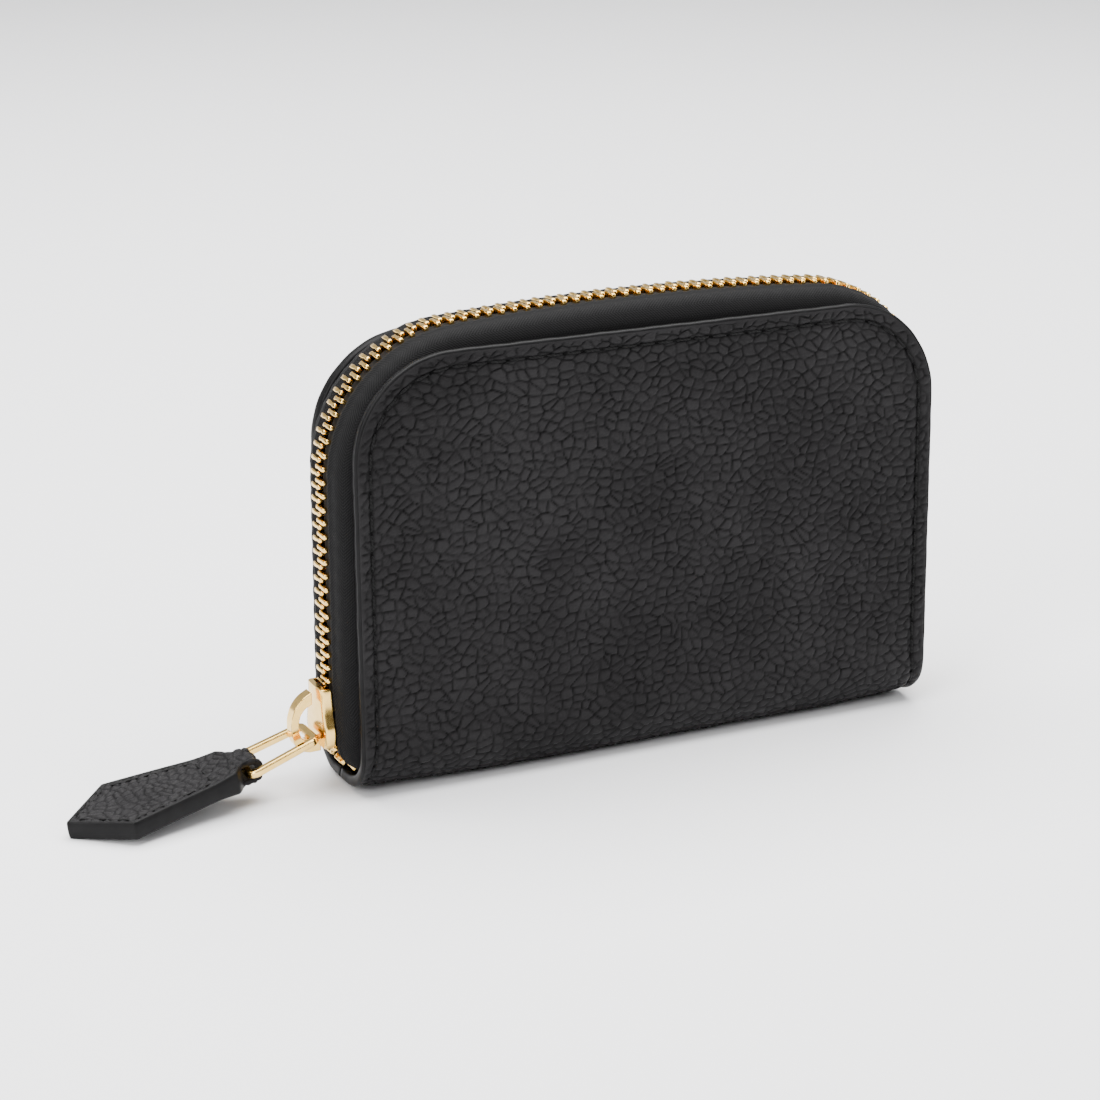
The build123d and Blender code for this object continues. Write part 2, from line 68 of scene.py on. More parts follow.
# ================================================================ sizes read from the frame
HALF_WIDTH, HALF_DEPTH, HEIGHT = cad("back_leather")[1]
CAD_TOOTH_HALF = 1.0  # half a CAD tooth's height across the chain's middle line
TEETH_HIGH = cad("back_teeth")[1]
CHAIN_X = TEETH_HIGH[0] - CAD_TOOTH_HALF  # the chain's middle line at the sides
CHAIN_TOP = TEETH_HIGH[2] - CAD_TOOTH_HALF

# ================================================================ the case's own shape
CORNER_R = 18.0
BEND_R = 8.0
DEPTH_TAPER = 0.45  # the half depth grows by this at the spine and shrinks by it at the top
FOOT_HALF = HALF_DEPTH + DEPTH_TAPER
FLAT_HALF = FOOT_HALF - BEND_R
LEAN = 2 * DEPTH_TAPER / (HEIGHT - BEND_R)
SHEET_FOOT = BEND_R - BEND_R * pi / 2 - FLAT_HALF  # unrolled height of the middle of the spine
SPINE_LIFT = 0.7  # the spine's ends curl up by this
EDGE_T = 1.95  # thickness of the painted edge
PEBBLE = 1.65  # usual size of a pebble of the grain
LEATHER_T = 1.2
SEAM_INSET = 2.8  # from the panel's outline to the seam

CHAIN_CORNER_R = 24.0
CHAIN_CORNER_Z = 54.5
TAIL_R = 4.5
TAIL_Z = 4.6
TAIL_RUN = 3.0
TOOTH_PITCH = 2.3
TEETH_START = 4.5
TEETH_END_GAP = 9.0


# ================================================================ mesh helpers
def new_piece(name, points, faces, material, smooth=True, uv=None, values=None):
    """Makes an object from points in millimetres. values are named floats, one per point."""
    mesh = bpy.data.meshes.new(name)
    mesh.from_pydata((np.asarray(points, float) * MM).tolist(), [], faces)
    mesh.validate()
    if smooth:
        mesh.shade_smooth()
    if uv is not None:
        layer = mesh.uv_layers.new(name="Weave")
        corner = np.zeros(len(mesh.loops), int)
        mesh.loops.foreach_get("vertex_index", corner)
        layer.data.foreach_set("uv", np.asarray(uv, float)[corner].ravel())
    for key, numbers in (values or {}).items():
        attribute = mesh.attributes.new(key, "FLOAT", "POINT")
        attribute.data.foreach_set("value", np.asarray(numbers, np.float32))
    mesh.materials.append(material)
    piece = bpy.data.objects.new(name, mesh)
    bpy.context.scene.collection.objects.link(piece)
    return piece


def grid_faces(rows, columns, first=0, loop_rows=False, loop_columns=False, flip=False):
    """Quads between rows x columns points that are numbered row by row."""
    faces = []
    for row in range(rows if loop_rows else rows - 1):
        low, high = first + row * columns, first + ((row + 1) % rows) * columns
        for column in range(columns if loop_columns else columns - 1):
            after = (column + 1) % columns
            quad = (low + column, low + after, high + after, high + column)
            faces.append(quad[::-1] if flip else quad)
    return faces


def sheet_faces(rows, columns, flip=False):
    """Closed sheet: a grid of outer points, the same grid of inner points, and walls round the border."""
    count = rows * columns
    faces = grid_faces(rows, columns) + grid_faces(rows, columns, first=count, flip=True)
    border = [row * columns for row in range(rows)]
    border += [count - columns + column for column in range(1, columns)]
    border += [row * columns + columns - 1 for row in range(rows - 2, -1, -1)]
    border += list(range(columns - 2, 0, -1))
    for start, after in zip(border, border[1:] + border[:1]):
        faces.append((after, after + count, start + count, start))
    return [face[::-1] for face in faces] if flip else faces


def tube_faces(rings, count):
    """Closed tube: rings of count points each, with a cap on both ends."""
    faces = grid_faces(rings, count, loop_columns=True)
    faces.append(tuple(range(count))[::-1])
    faces.append(tuple(range((rings - 1) * count, rings * count)))
    return faces


def merge(parts):
    """Joins (points, faces) pairs into one."""
    points, faces, start = [], [], 0
    for part_points, part_faces in parts:
        points.append(part_points)
        faces += [tuple(start + index for index in face) for face in part_faces]
        start += len(part_points)
    return np.concatenate(points), faces


def bevelled(piece, width, segments=3, angle=35):
    """Rounds a hard-edged piece's edges."""
    modifier = piece.modifiers.new("Bevel", "BEVEL")
    modifier.width = width * MM
    modifier.segments = segments
    modifier.limit_method = "ANGLE"
    modifier.angle_limit = radians(angle)
    modifier.harden_normals = True
    return piece


def smoothstep(x, low, high):
    t = np.clip((np.asarray(x, float) - low) / (high - low), 0, 1)
    return t * t * (3 - 2 * t)


def round_corners(corners, radii, steps=8, closed=True):
    """Polygon in a plane with its corners rounded to arcs."""
    points, count = [], len(corners)
    for index, (corner, radius) in enumerate(zip(corners, radii)):
        corner = np.array(corner, float)
        if not closed and index in (0, count - 1) or radius == 0:
            points.append(corner)
            continue
        before = np.array(corners[index - 1], float) - corner
        after = np.array(corners[(index + 1) % count], float) - corner
        room = 0.48 * min(np.linalg.norm(before), np.linalg.norm(after))
        before, after = before / np.linalg.norm(before), after / np.linalg.norm(after)
        half = np.arccos(np.clip(before @ after, -1, 1)) / 2
        reach = min(radius / np.tan(half), room)
        radius = reach * np.tan(half)
        middle = corner + (before + after) / np.linalg.norm(before + after) * radius / np.sin(half)
        start, end = corner + before * reach - middle, corner + after * reach - middle
        sweep = atan2(start[0] * end[1] - start[1] * end[0], start @ end)
        for step in range(steps + 1):
            turn = sweep * step / steps
            points.append(middle + (start[0] * cos(turn) - start[1] * sin(turn),
                                    start[0] * sin(turn) + start[1] * cos(turn)))
    return np.array(points)


# ================================================================ pebble grain
def cell_pattern(x, y, size, seed, stretch=1.0):
    """Distance from the nearest border between rounded cells, in units of a cell, and a number per cell."""
    random = np.random.default_rng(seed)
    table = random.random((64, 64, 3))
    across = x / size / stretch + 0.30 * np.sin(y / size * 0.9 + seed) + 0.05 * np.sin(y / size * 2.3 + 1.7)
    along = y / size + 0.30 * np.sin(x / size * 0.6 + 2.1 * seed) + 0.05 * np.sin(x / size * 2.0 + 0.6)
    column, row = np.floor(across).astype(int), np.floor(along).astype(int)
    near = np.full((2,) + x.shape, 1e9)
    owner = np.zeros(x.shape)
    points = np.zeros((2, 2) + x.shape)
    for right in (-2, -1, 0, 1, 2):
        for up in (-2, -1, 0, 1, 2):
            cell = table[(column + right) % 64, (row + up) % 64]
            px, py = column + right + 0.05 + 0.9 * cell[..., 0], row + up + 0.05 + 0.9 * cell[..., 1]
            distance = np.hypot(across - px, along - py)
            first = distance < near[0]
            second = (distance < near[1]) & ~first
            near[1] = np.where(first, near[0], np.where(second, distance, near[1]))
            points[1] = np.where(first, points[0], np.where(second, np.array([px, py]), points[1]))
            near[0] = np.where(first, distance, near[0])
            points[0] = np.where(first, np.array([px, py]), points[0])
            owner = np.where(first, cell[..., 2], owner)
    apart = np.maximum(np.hypot(*(points[0] - points[1])), 1e-3)
    return (near[1] ** 2 - near[0] ** 2) / (2 * apart), owner


def pebble(x, y, size, seed, stretch=1.0):
    """Height of the grain, from 0 in a crease to about 1 on a pebble, and how much painted shade darkens a
    crease there.
    """
    border, owner = cell_pattern(x, y, size, seed, stretch)
    fine_border = cell_pattern(x, y, size * 0.45, seed + 7, stretch)[0]
    dome = 1 - (1 - np.clip(border / 0.42, 0, 1)) ** 2.6
    small = 1 - (1 - np.clip(fine_border / 0.4, 0, 1)) ** 2
    depth = 0.55 + 0.45 * np.sin(x / 1.3 + 2 * np.sin(y / 2.1)) * np.sin(y / 1.1 + x / 3.7)
    height = (0.45 + 0.40 * depth) * dome + 0.18 * small * dome + 0.20 * (owner - 0.5)
    # painted shade: this mask darkens the leather's colour in the creases, where shade falls
    crease_shade = (1 - np.clip(border / 0.17, 0, 1)) * (0.5 + 0.5 * depth)
    fine_crease_shade = (1 - np.clip(fine_border / 0.3, 0, 1)) * 0.3 * (1 - depth)
    return height, np.maximum(crease_shade, fine_crease_shade)


# ================================================================ the case's surface
def case_point(side, x, height, depth):
    """Point under the outer face of one half of the case. height runs up the unrolled leather."""
    x, height, depth = np.broadcast_arrays(np.asarray(x, float), height, depth)
    turn = np.clip((BEND_R - height) / BEND_R, 0, pi / 2)
    flat = np.maximum(BEND_R - BEND_R * pi / 2 - height, 0)
    rise = np.maximum(height - BEND_R, 0)
    y = FLAT_HALF + BEND_R * np.cos(turn) - flat - rise * LEAN - depth * np.cos(turn)
    lift = SPINE_LIFT * smoothstep(np.abs(x), 30, 60) * (1 - smoothstep(height, -4, 25)) * 1.4
    z = BEND_R - BEND_R * np.sin(turn) + rise + depth * np.sin(turn) + lift
    return np.stack([x, side * y, z], axis=-1)


def edge_distance(x, height):
    """Distance in from the panel's outline, on the unrolled leather."""
    corner_x, corner_z = HALF_WIDTH - CORNER_R, HEIGHT - CORNER_R
    over_x, over_z = np.abs(x) - corner_x, height - corner_z
    in_corner = (over_x > 0) & (over_z > 0)
    straight = np.minimum(HALF_WIDTH - np.abs(x), HEIGHT - height)
    return np.where(in_corner, CORNER_R - np.hypot(over_x, over_z), straight)


def seam_inset(height):
    """The seam runs nearer the edge where the leather bends round the spine."""
    return SEAM_INSET - 1.3 * (1 - smoothstep(height, -3, 12))


def seam_place(along):
    """X and unrolled height of the seam, at a distance from the middle of the panel's top."""
    side_of, along = np.sign(along) or 1, abs(along)
    corner_x, corner_z, radius = HALF_WIDTH - CORNER_R, HEIGHT - CORNER_R, CORNER_R - SEAM_INSET
    if along < corner_x:
        return side_of * along, HEIGHT - SEAM_INSET
    if along < corner_x + radius * pi / 2:
        turn = (along - corner_x) / radius
        return side_of * (corner_x + radius * sin(turn)), corner_z + radius * cos(turn)
    height = corner_z - (along - corner_x - radius * pi / 2)
    return side_of * (HALF_WIDTH - float(seam_inset(height))), height


SEAM_HALF = (HALF_WIDTH - CORNER_R) + (CORNER_R - SEAM_INSET) * pi / 2 + (HEIGHT - CORNER_R) + 1.0
STITCHES = round(SEAM_HALF / 3.4)
STITCH_PITCH = SEAM_HALF / STITCHES


def seam_along(x, height):
    """Distance along the seam from the middle of the top, for points near it."""
    corner_x, corner_z, radius = HALF_WIDTH - CORNER_R, HEIGHT - CORNER_R, CORNER_R - SEAM_INSET
    over_x, over_z = np.abs(x) - corner_x, height - corner_z
    corner = corner_x + radius * np.arctan2(np.maximum(over_x, 0), np.maximum(over_z, 1e-6))
    side = corner_x + radius * pi / 2 + (corner_z - height)
    return np.where(over_z < 0, side, np.where(over_x < 0, np.abs(x), corner))


def half_grid(inset, spacing, arc_rows):
    """Half width of each row of one half of the case, its height, and X and height of a grid of points."""
    half, radius, corner_z = HALF_WIDTH - inset, CORNER_R - inset, HEIGHT - CORNER_R
    straight_rows = ceil((corner_z - SHEET_FOOT) / spacing)
    heights = [SHEET_FOOT + (corner_z - SHEET_FOOT) * row / straight_rows for row in range(straight_rows)]
    heights += [corner_z + radius * sin(pi / 2 * row / arc_rows) for row in range(arc_rows + 1)]
    heights = np.array(heights)
    over = np.maximum(heights - corner_z, 0)
    widths = np.where(over > 0, half - radius + np.sqrt(np.maximum(radius ** 2 - over ** 2, 0)), half)
    columns = ceil(2 * half / spacing) + 1
    x = widths[:, None] * np.linspace(-1, 1, columns)[None, :]
    return widths, heights, x, np.repeat(heights[:, None], columns, axis=1)


def leather_half(side, name, seed, spacing):
    """Grained outer leather of one half of the case, as a closed sheet."""
    inset = 0.5
    arc_rows = ceil((CORNER_R - inset) * pi / 2 / spacing)
    widths, heights, x, h = half_grid(inset, spacing, arc_rows)
    rows, columns = x.shape
    edge = edge_distance(x, h)
    seam = edge + SEAM_INSET - seam_inset(h)
    grain, crease_shade = pebble(x, h * side + 300, PEBBLE, seed, 1.3)
    fade = smoothstep(edge, 0.5, 1.3)
    in_groove = np.exp(-((seam - SEAM_INSET) / 0.48) ** 2)
    phase = (seam_along(x, h) / STITCH_PITCH) % 1.0
    hole = np.exp(-(np.minimum(phase, 1 - phase) / 0.13) ** 2)
    groove = in_groove * (0.38 + 0.22 * hole)
    border = 0.16 * (1 - smoothstep(seam, 2.3, 3.4)) * smoothstep(edge, 0.4, 1.4)
    swell = 0.10 * np.sin(x / 17 + seed) * np.sin(h / 13 + 1.3) + 0.06 * np.sin(x / 9.1 + h / 7.3 + seed)
    height_map = 0.48 * (grain - 0.9) * fade * (1 - 0.6 * in_groove)
    height_map += border - groove + swell * smoothstep(edge, 3, 12)
    height_map = np.where(h < 0, np.minimum(height_map, 0), height_map)
    outer = case_point(side, x, h, -height_map - 0.02).reshape(-1, 3)
    count = rows * columns
    inner_left = case_point(side, -widths, heights, LEATHER_T)
    inner_right = case_point(side, widths, heights, LEATHER_T)
    points = np.concatenate([outer, inner_left, inner_right])
    flip = side > 0
    faces = grid_faces(rows, columns, flip=flip)
    left, right = count, count + rows
    strip = [(left + row, left + row + 1, right + row + 1, right + row) for row in range(rows - 1)]
    strip += [(row * columns, (row + 1) * columns, left + row + 1, left + row) for row in range(rows - 1)]
    strip += [((row + 1) * columns - 1, right + row, right + row + 1, (row + 2) * columns - 1)
              for row in range(rows - 1)]
    strip.append(tuple(range(columns))[::-1] + (left, right))
    strip.append(tuple(range((rows - 1) * columns, count)) + (right + rows - 1, left + rows - 1))
    faces += [face[::-1] for face in strip] if flip else strip
    values = np.zeros(len(points))
    # painted shade: darker colour in the grain's creases, along the seam's groove and deepest at the stitch
    # holes
    values[:count] = np.maximum(crease_shade * fade, in_groove * (0.7 + 0.3 * hole)).ravel()
    return new_piece(name, points, faces, MATERIALS["leather"], values={"crease_shade": values})


def outline_loop(half, top, radius, spacing, foot):
    """Points and outward directions round a panel's outline, from one foot over the top to the other."""
    corner_x, corner_z = half - radius, top - radius
    rows = ceil((corner_z - foot) / spacing)
    arc = ceil(radius * pi / 2 / spacing)
    flat = ceil(2 * corner_x / spacing)
    places = [(-half, foot + (corner_z - foot) * row / rows, -1, 0) for row in range(rows)]
    for step in range(arc):
        turn = pi / 2 * step / arc
        c, s = cos(turn), sin(turn)
        places.append((-corner_x - radius * c, corner_z + radius * s, -c, s))
    places += [(-corner_x + 2 * corner_x * step / flat, top, 0, 1) for step in range(flat)]
    for step in range(arc):
        turn = pi / 2 * step / arc
        c, s = cos(turn), sin(turn)
        places.append((corner_x + radius * s, corner_z + radius * c, s, c))
    places += [(half, corner_z - (corner_z - foot) * row / rows, 1, 0) for row in range(rows + 1)]
    return np.array(places)


def painted_edge(side, name):
    """Smooth painted edge round one half of the case. The profile is (outward, depth) pairs."""
    profile = np.array([(-0.95, 0.3), (-0.66, 0.06), (-0.5, 0.0), (-0.34, 0.03), (-0.18, 0.12), (-0.06, 0.28),
                        (-0.01, 0.5), (-0.02, 0.8), (-0.1, 1.3), (-0.2, 1.65), (-0.36, 1.88), (-0.6, EDGE_T),
                        (-1.3, EDGE_T), (-1.3, 0.6)])
    places = outline_loop(HALF_WIDTH, HEIGHT, CORNER_R, 0.7, SHEET_FOOT)
    wave = 0.025 * np.sin(np.arange(len(places)) * 0.37) + 0.02 * np.sin(np.arange(len(places)) * 0.91 + 1)
    rings = []
    for out, depth in profile:
        reach = out + wave * (depth < 1.9)
        x, height = places[:, 0] + places[:, 2] * reach, places[:, 1] + places[:, 3] * reach
        rings.append(case_point(side, x, height, depth))
    points = np.stack(rings, axis=1).reshape(-1, 3)
    faces = tube_faces(len(places), len(profile))
    if side < 0:
        faces = [face[::-1] for face in faces]
    return new_piece(name, points, faces, MATERIALS["edge"])


def thread_stitch(start, end, normal, width=0.52, rise=0.04, rings=9, around=8):
    """One stitch: a short arched length of thread between two holes."""
    start, end, normal = (np.asarray(v, float) for v in (start, end, normal))
    along = (end - start) / np.linalg.norm(end - start)
    across = np.cross(normal, along)
    points = []
    for ring in range(rings):
        t = ring / (rings - 1)
        arch = 1 - (2 * t - 1) ** 4
        centre = start + (end - start) * t + normal * (rise * arch - 0.28)
        size = width / 2 * (0.55 + 0.45 * arch)
        twist = t * 5.0
        for spoke in range(around):
            turn = 2 * pi * spoke / around
            lobes = 1 + 0.10 * cos(2 * (turn + twist))
            spread = size * lobes
            points.append(centre + across * spread * cos(turn) + normal * 0.8 * spread * sin(turn))
    return np.array(points), tube_faces(rings, around)


def case_seam(side, name):
    """Stitches round one half of the case."""
    stitches = []
    for way in (-1, 1):
        for number in range(STITCHES):
            middle = (number + 0.5) * STITCH_PITCH
            ends = [seam_place(way * (middle + shift)) for shift in (-1.32, 1.32)]
            first, last = (case_point(side, x, h, 0.02) for x, h in ends)
            x, h = seam_place(way * middle)
            normal = case_point(side, x, h, 0) - case_point(side, x, h, 1)
            stitches.append(thread_stitch(first, last, normal))
    return new_piece(name, *merge(stitches), MATERIALS["thread"])


def lining_half(side, name):
    """Lining of one half of the case, slightly crumpled on its inner side."""
    outer, thick = 2.3, 0.6
    x, h = half_grid(2.2, 1.6, 14)[2:]
    rows, columns = x.shape
    crumple = 0.07 * np.sin(x / 3.1 + h / 5.2) * np.sin(h / 2.7 - x / 6.1)
    points = np.concatenate([case_point(side, x, h, outer).reshape(-1, 3),
                             case_point(side, x, h, outer + thick + crumple).reshape(-1, 3)])
    faces = sheet_faces(rows, columns, side > 0)
    uv = np.tile(np.stack([x.ravel(), h.ravel()], axis=1) * MM, (2, 1))
    return new_piece(name, points, faces, MATERIALS["lining"], uv=uv)


# ================================================================ the chain's path
CROWN_RISE = CHAIN_TOP - CHAIN_CORNER_Z - CHAIN_CORNER_R
CHAIN_CORNER_X = CHAIN_X - CHAIN_CORNER_R
CROWN_ANGLE = 2 * atan(CROWN_RISE / CHAIN_CORNER_X)
CROWN_R = CHAIN_CORNER_X / sin(CROWN_ANGLE) + CHAIN_CORNER_R
TAIL_CENTRE_Z = TAIL_Z + TAIL_R
TAIL_LENGTH = TAIL_RUN + TAIL_R * pi / 2
CHAIN_SPANS = (
    TAIL_RUN,
    TAIL_R * pi / 2,
    CHAIN_CORNER_Z - TAIL_CENTRE_Z,
    CHAIN_CORNER_R * (pi / 2 - CROWN_ANGLE),
    CROWN_R * CROWN_ANGLE,
)
CHAIN_HALF = sum(CHAIN_SPANS)


def chain_place(distance):
    """X, Z and outward direction on the chain, at a distance from the slider's end."""
    mirror = 1
    if distance > CHAIN_HALF:
        distance, mirror = 2 * CHAIN_HALF - distance, -1
    run, tail, rise, corner = CHAIN_SPANS[:4]
    tail_x = CHAIN_X - TAIL_R
    if distance < run:
        x, z, out_x, out_z = -tail_x + run - distance, TAIL_Z, 0, -1
    elif distance < run + tail:
        turn = (distance - run) / TAIL_R
        out_x, out_z = -sin(turn), -cos(turn)
        x, z = -tail_x + TAIL_R * out_x, TAIL_CENTRE_Z + TAIL_R * out_z
    elif distance < run + tail + rise:
        x, z, out_x, out_z = -CHAIN_X, TAIL_CENTRE_Z + distance - run - tail, -1, 0
    elif distance < run + tail + rise + corner:
        turn = (distance - run - tail - rise) / CHAIN_CORNER_R
        out_x, out_z = -cos(turn), sin(turn)
        x, z = -CHAIN_CORNER_X + CHAIN_CORNER_R * out_x, CHAIN_CORNER_Z + CHAIN_CORNER_R * out_z
    else:
        turn = (CHAIN_HALF - distance) / CROWN_R
        out_x, out_z = -sin(turn), cos(turn)
        x, z = CROWN_R * out_x, CHAIN_TOP - CROWN_R + CROWN_R * out_z
    return mirror * x, z, mirror * out_x, out_z


SPREAD = ((17.5, 0.0), (15.0, 0.8), (11.0, 1.5), (7.2, 1.65), (5.0, 2.8))


def row_shift(distance):
    """How far a row of teeth stands off the middle, below the slider's wedge."""
    height = chain_place(distance)[1]
    if distance > TAIL_LENGTH + SPREAD[0][0] - TAIL_CENTRE_Z:
        return 0.0
    heights = [high for high, shift in SPREAD][::-1]
    return float(np.interp(height, heights, [shift for high, shift in SPREAD][::-1]))


def tape_edge_y(height):
    """Half the space between the painted edges, at a height."""
    turn = np.clip((BEND_R - height) / BEND_R, 0, 1)
    return FLAT_HALF + (BEND_R - EDGE_T - 0.3) * sqrt(1 - turn ** 2) - max(height - BEND_R, 0) * LEAN


TAPE_T = 0.5
TAPE_DROP = 3.4  # the tape curves down by this before it tucks in behind the painted edge
TAPE_TUCK = 4.4
TAPE_TURN = 0.78  # share of the tape's width that is curved


def zip_tape(side, name):
    """One tape: flat at the teeth, a low ridge, then a curve down inside the painted edge."""
    steps = 360
    rings, uv = [], []
    across = 30
    for step in range(steps + 1):
        distance = 2 * CHAIN_HALF * step / steps
        x, z, out_x, out_z = chain_place(distance)
        start = 1.0 + row_shift(distance)
        end = tape_edge_y(z - 3.5 * out_z)
        upper, lower, travel = [], [], []
        last, total = None, 0.0
        for index in range(across + 1):
            t = index / across
            if t < TAPE_TURN:
                turn = pi / 2 * (t / TAPE_TURN)
                y = start + (end - start) * (0.30 * t / TAPE_TURN + 0.70 * sin(turn))
                drop = -TAPE_DROP * (1 - cos(turn)) ** 2.3
            else:
                y = end + 0.15 * (t - TAPE_TURN) / 0.22
                drop = -TAPE_DROP - TAPE_TUCK * (t - TAPE_TURN) / 0.22
            ridge = 0.30 * np.exp(-((y - start - 2.55) / 0.55) ** 2) * (1 if t < TAPE_TURN else 0)
            pucker = 0.06 * sin(distance * 1.9) * sin(min(t / TAPE_TURN, 1) * pi)
            point = (y, drop + ridge + pucker)
            if last:
                total += hypot(point[0] - last[0], point[1] - last[1])
            last = point
            upper.append(point)
            travel.append(total)
        for index, (y, out) in enumerate(upper):
            before, after = upper[max(index - 1, 0)], upper[min(index + 1, across)]
            slope = np.array([after[0] - before[0], after[1] - before[1]])
            slope = slope / np.linalg.norm(slope)
            lower.append((y + slope[1] * TAPE_T, out - slope[0] * TAPE_T))
        ring = upper + lower[::-1]
        rings += [(x + out * out_x, side * y, z + out * out_z) for y, out in ring]
        uv += [(distance * MM, t * MM) for t in travel + travel[::-1]]
    faces = tube_faces(steps + 1, 2 * (across + 1))
    faces = [face[::-1] for face in faces] if side > 0 else faces
    return new_piece(name, rings, faces, MATERIALS["tape"], uv=uv)


def tooth_shape():
    """One tooth on its own: X along the chain, Y from the row's own side to the middle, Z outwards."""
    sections = (
        (2.66, 0.26, 0.55), (2.60, 0.34, 0.74), (2.44, 0.40, 0.84), (1.60, 0.41, 0.88), (1.05, 0.39, 0.88),
        (0.66, 0.30, 0.86), (0.30, 0.31, 0.86), (-0.15, 0.41, 0.86), (-0.50, 0.39, 0.82),
        (-0.68, 0.30, 0.70), (-0.74, 0.18, 0.45),
    )
    around = 16
    points = []
    for y, half_x, half_z in sections:
        for spoke in range(around):
            turn = 2 * pi * (spoke + 0.5) / around
            c, s = cos(turn), sin(turn)
            points.append((half_x * np.sign(c) * abs(c) ** 0.35, y, half_z * np.sign(s) * abs(s) ** 0.35))
    return np.array(points), tube_faces(len(sections), around)


def chain_row(side, name):
    """Every tooth of one row."""
    shape, shape_faces = tooth_shape()
    first = TEETH_START + (0 if side < 0 else TOOTH_PITCH / 2)
    count = int((2 * CHAIN_HALF - TEETH_END_GAP - first) / TOOTH_PITCH)
    random = np.random.default_rng(5 + side)
    teeth = []
    for number in range(count):
        distance = first + number * TOOTH_PITCH
        x, z, out_x, out_z = chain_place(distance)
        tilt = radians(random.normal(0, 1.6))
        along = shape[:, 0] * cos(tilt) - shape[:, 1] * sin(tilt)
        across = shape[:, 0] * sin(tilt) + shape[:, 1] * cos(tilt)
        out = shape[:, 2] + random.normal(0, 0.03)
        shift = row_shift(distance)
        points = np.stack([x + along * out_z + out * out_x, side * (across + shift),
                           z - along * out_x + out * out_z], axis=1)
        teeth.append((points, shape_faces if side < 0 else [face[::-1] for face in shape_faces]))
    return new_piece(name, *merge(teeth), MATERIALS["gold"])


# ================================================================ slider and pull
PLATE_X = cad("slider_crown")[1][0]  # outer face of the slider's outer plate
SLIDER_LOW, SLIDER_HIGH = cad("slider_body")
ring_joint = next(joint for joint in frame["joints"] if joint["name"] == "ring_swing")
tab_joint = next(joint for joint in frame["joints"] if joint["name"] == "tab_swing")
RING_AT = np.array(ring_joint["pos_m"]) / MM
TAB_AT = np.array(tab_joint["pos_m"]) / MM


def slider_shell(outward, face_x):
    """One plate of the slider with its side flanges: C-shaped sections lofted up the slider."""
    stations = (
        (0.0, 3.4), (0.35, 4.0), (1.1, 4.45), (2.2, 4.72), (3.2, 4.75), (4.4, 4.5),
        (6.0, 4.0), (7.8, 3.62), (9.4, 3.45), (10.3, 3.40), (10.6, 3.30),
    )
    flange = 1.75
    points, count = [], 0
    for rise, half in stations:
        z = SLIDER_LOW[2] + rise
        dish = 0.28 * smoothstep(2.4 - rise, 0, 2.4) - 0.10 * smoothstep(rise, 8.5, 10.6)
        wall = 0.55
        section = [
            (half, flange), (half, 0.75), (half - 0.10, 0.32),
            (half - 0.42, 0.06), (half - 1.1, -0.02), (0, -0.10),
        ]
        inner = [(half - wall, flange), (half - wall, 1.15), (half - wall - 0.3, 0.95), (0, 0.95)]
        loop = section + [(-y, d) for y, d in section[-2::-1]] + [(-y, d) for y, d in inner]
        loop += [(y, d) for y, d in inner[-2::-1]]
        count = len(loop)
        points += [(face_x - outward * (d + dish), y, z) for y, d in loop]
    faces = tube_faces(len(stations), count)
    return np.array(points), faces if outward > 0 else [face[::-1] for face in faces]


def prism(outline, low, high, place):
    """Closed prism of an outline. place turns (a, b, height) arrays into row-frame points."""
    outline = np.asarray(outline, float)
    count = len(outline)
    bottom = place(outline[:, 0], outline[:, 1], np.full(count, low))
    top = place(outline[:, 0], outline[:, 1], np.full(count, high))
    faces = [tuple(range(count))[::-1], tuple(range(count, 2 * count))]
    faces += [(i, (i + 1) % count, (i + 1) % count + count, i + count) for i in range(count)]
    return np.concatenate([bottom, top]), faces


def slider_body():
    """Two flanged plates and the wedge between them."""
    outer = slider_shell(-1, PLATE_X)
    inner = slider_shell(1, SLIDER_HIGH[0])
    wedge = prism([(0, 14.5), (0.5, 11.5), (0.5, 8.8), (-0.5, 8.8), (-0.5, 11.5)], PLATE_X + 0.5,
                  SLIDER_HIGH[0] - 0.5, lambda a, b, h: np.stack([h, a, b], axis=1))
    piece = new_piece("slider_shells", *merge([outer, inner, wedge]), MATERIALS["gold"])
    return bevelled(piece, 0.12, 3, 40)


def slider_arch():
    """Open arch on the slider: a thick foot, a band that curls out and up, and a free flat end."""
    reach = [
        (0.4, 7.1), (-1.6, 7.05), (-3.2, 7.5), (-4.3, 8.9), (-4.75, 11.0), (-4.75, 13.0),
        (-4.1, 15.1), (-2.9, 16.7), (-0.95, 17.75), (-0.95, 15.6), (-2.2, 15.0), (-3.1, 13.8),
        (-3.4, 12.4), (-3.35, 11.0), (-3.0, 9.9), (-2.0, 9.15), (0.4, 9.1),
    ]
    radii = [0, 1.2, 2.2, 2.5, 4.0, 4.0, 4.0, 5.0, 0.15, 0.15, 2.0, 1.5, 2.5, 2.0, 0.9, 1.0, 0]
    corners = [(PLATE_X + x, z) for x, z in reach]
    outline = round_corners(corners, radii, 4)
    half = 1.2
    points, faces = prism(outline, -half, half, lambda a, b, h: np.stack([a, h, b], axis=1))
    piece = new_piece("slider_arch", points, faces, MATERIALS["gold"])
    return bevelled(piece, 0.2, 3, 40)


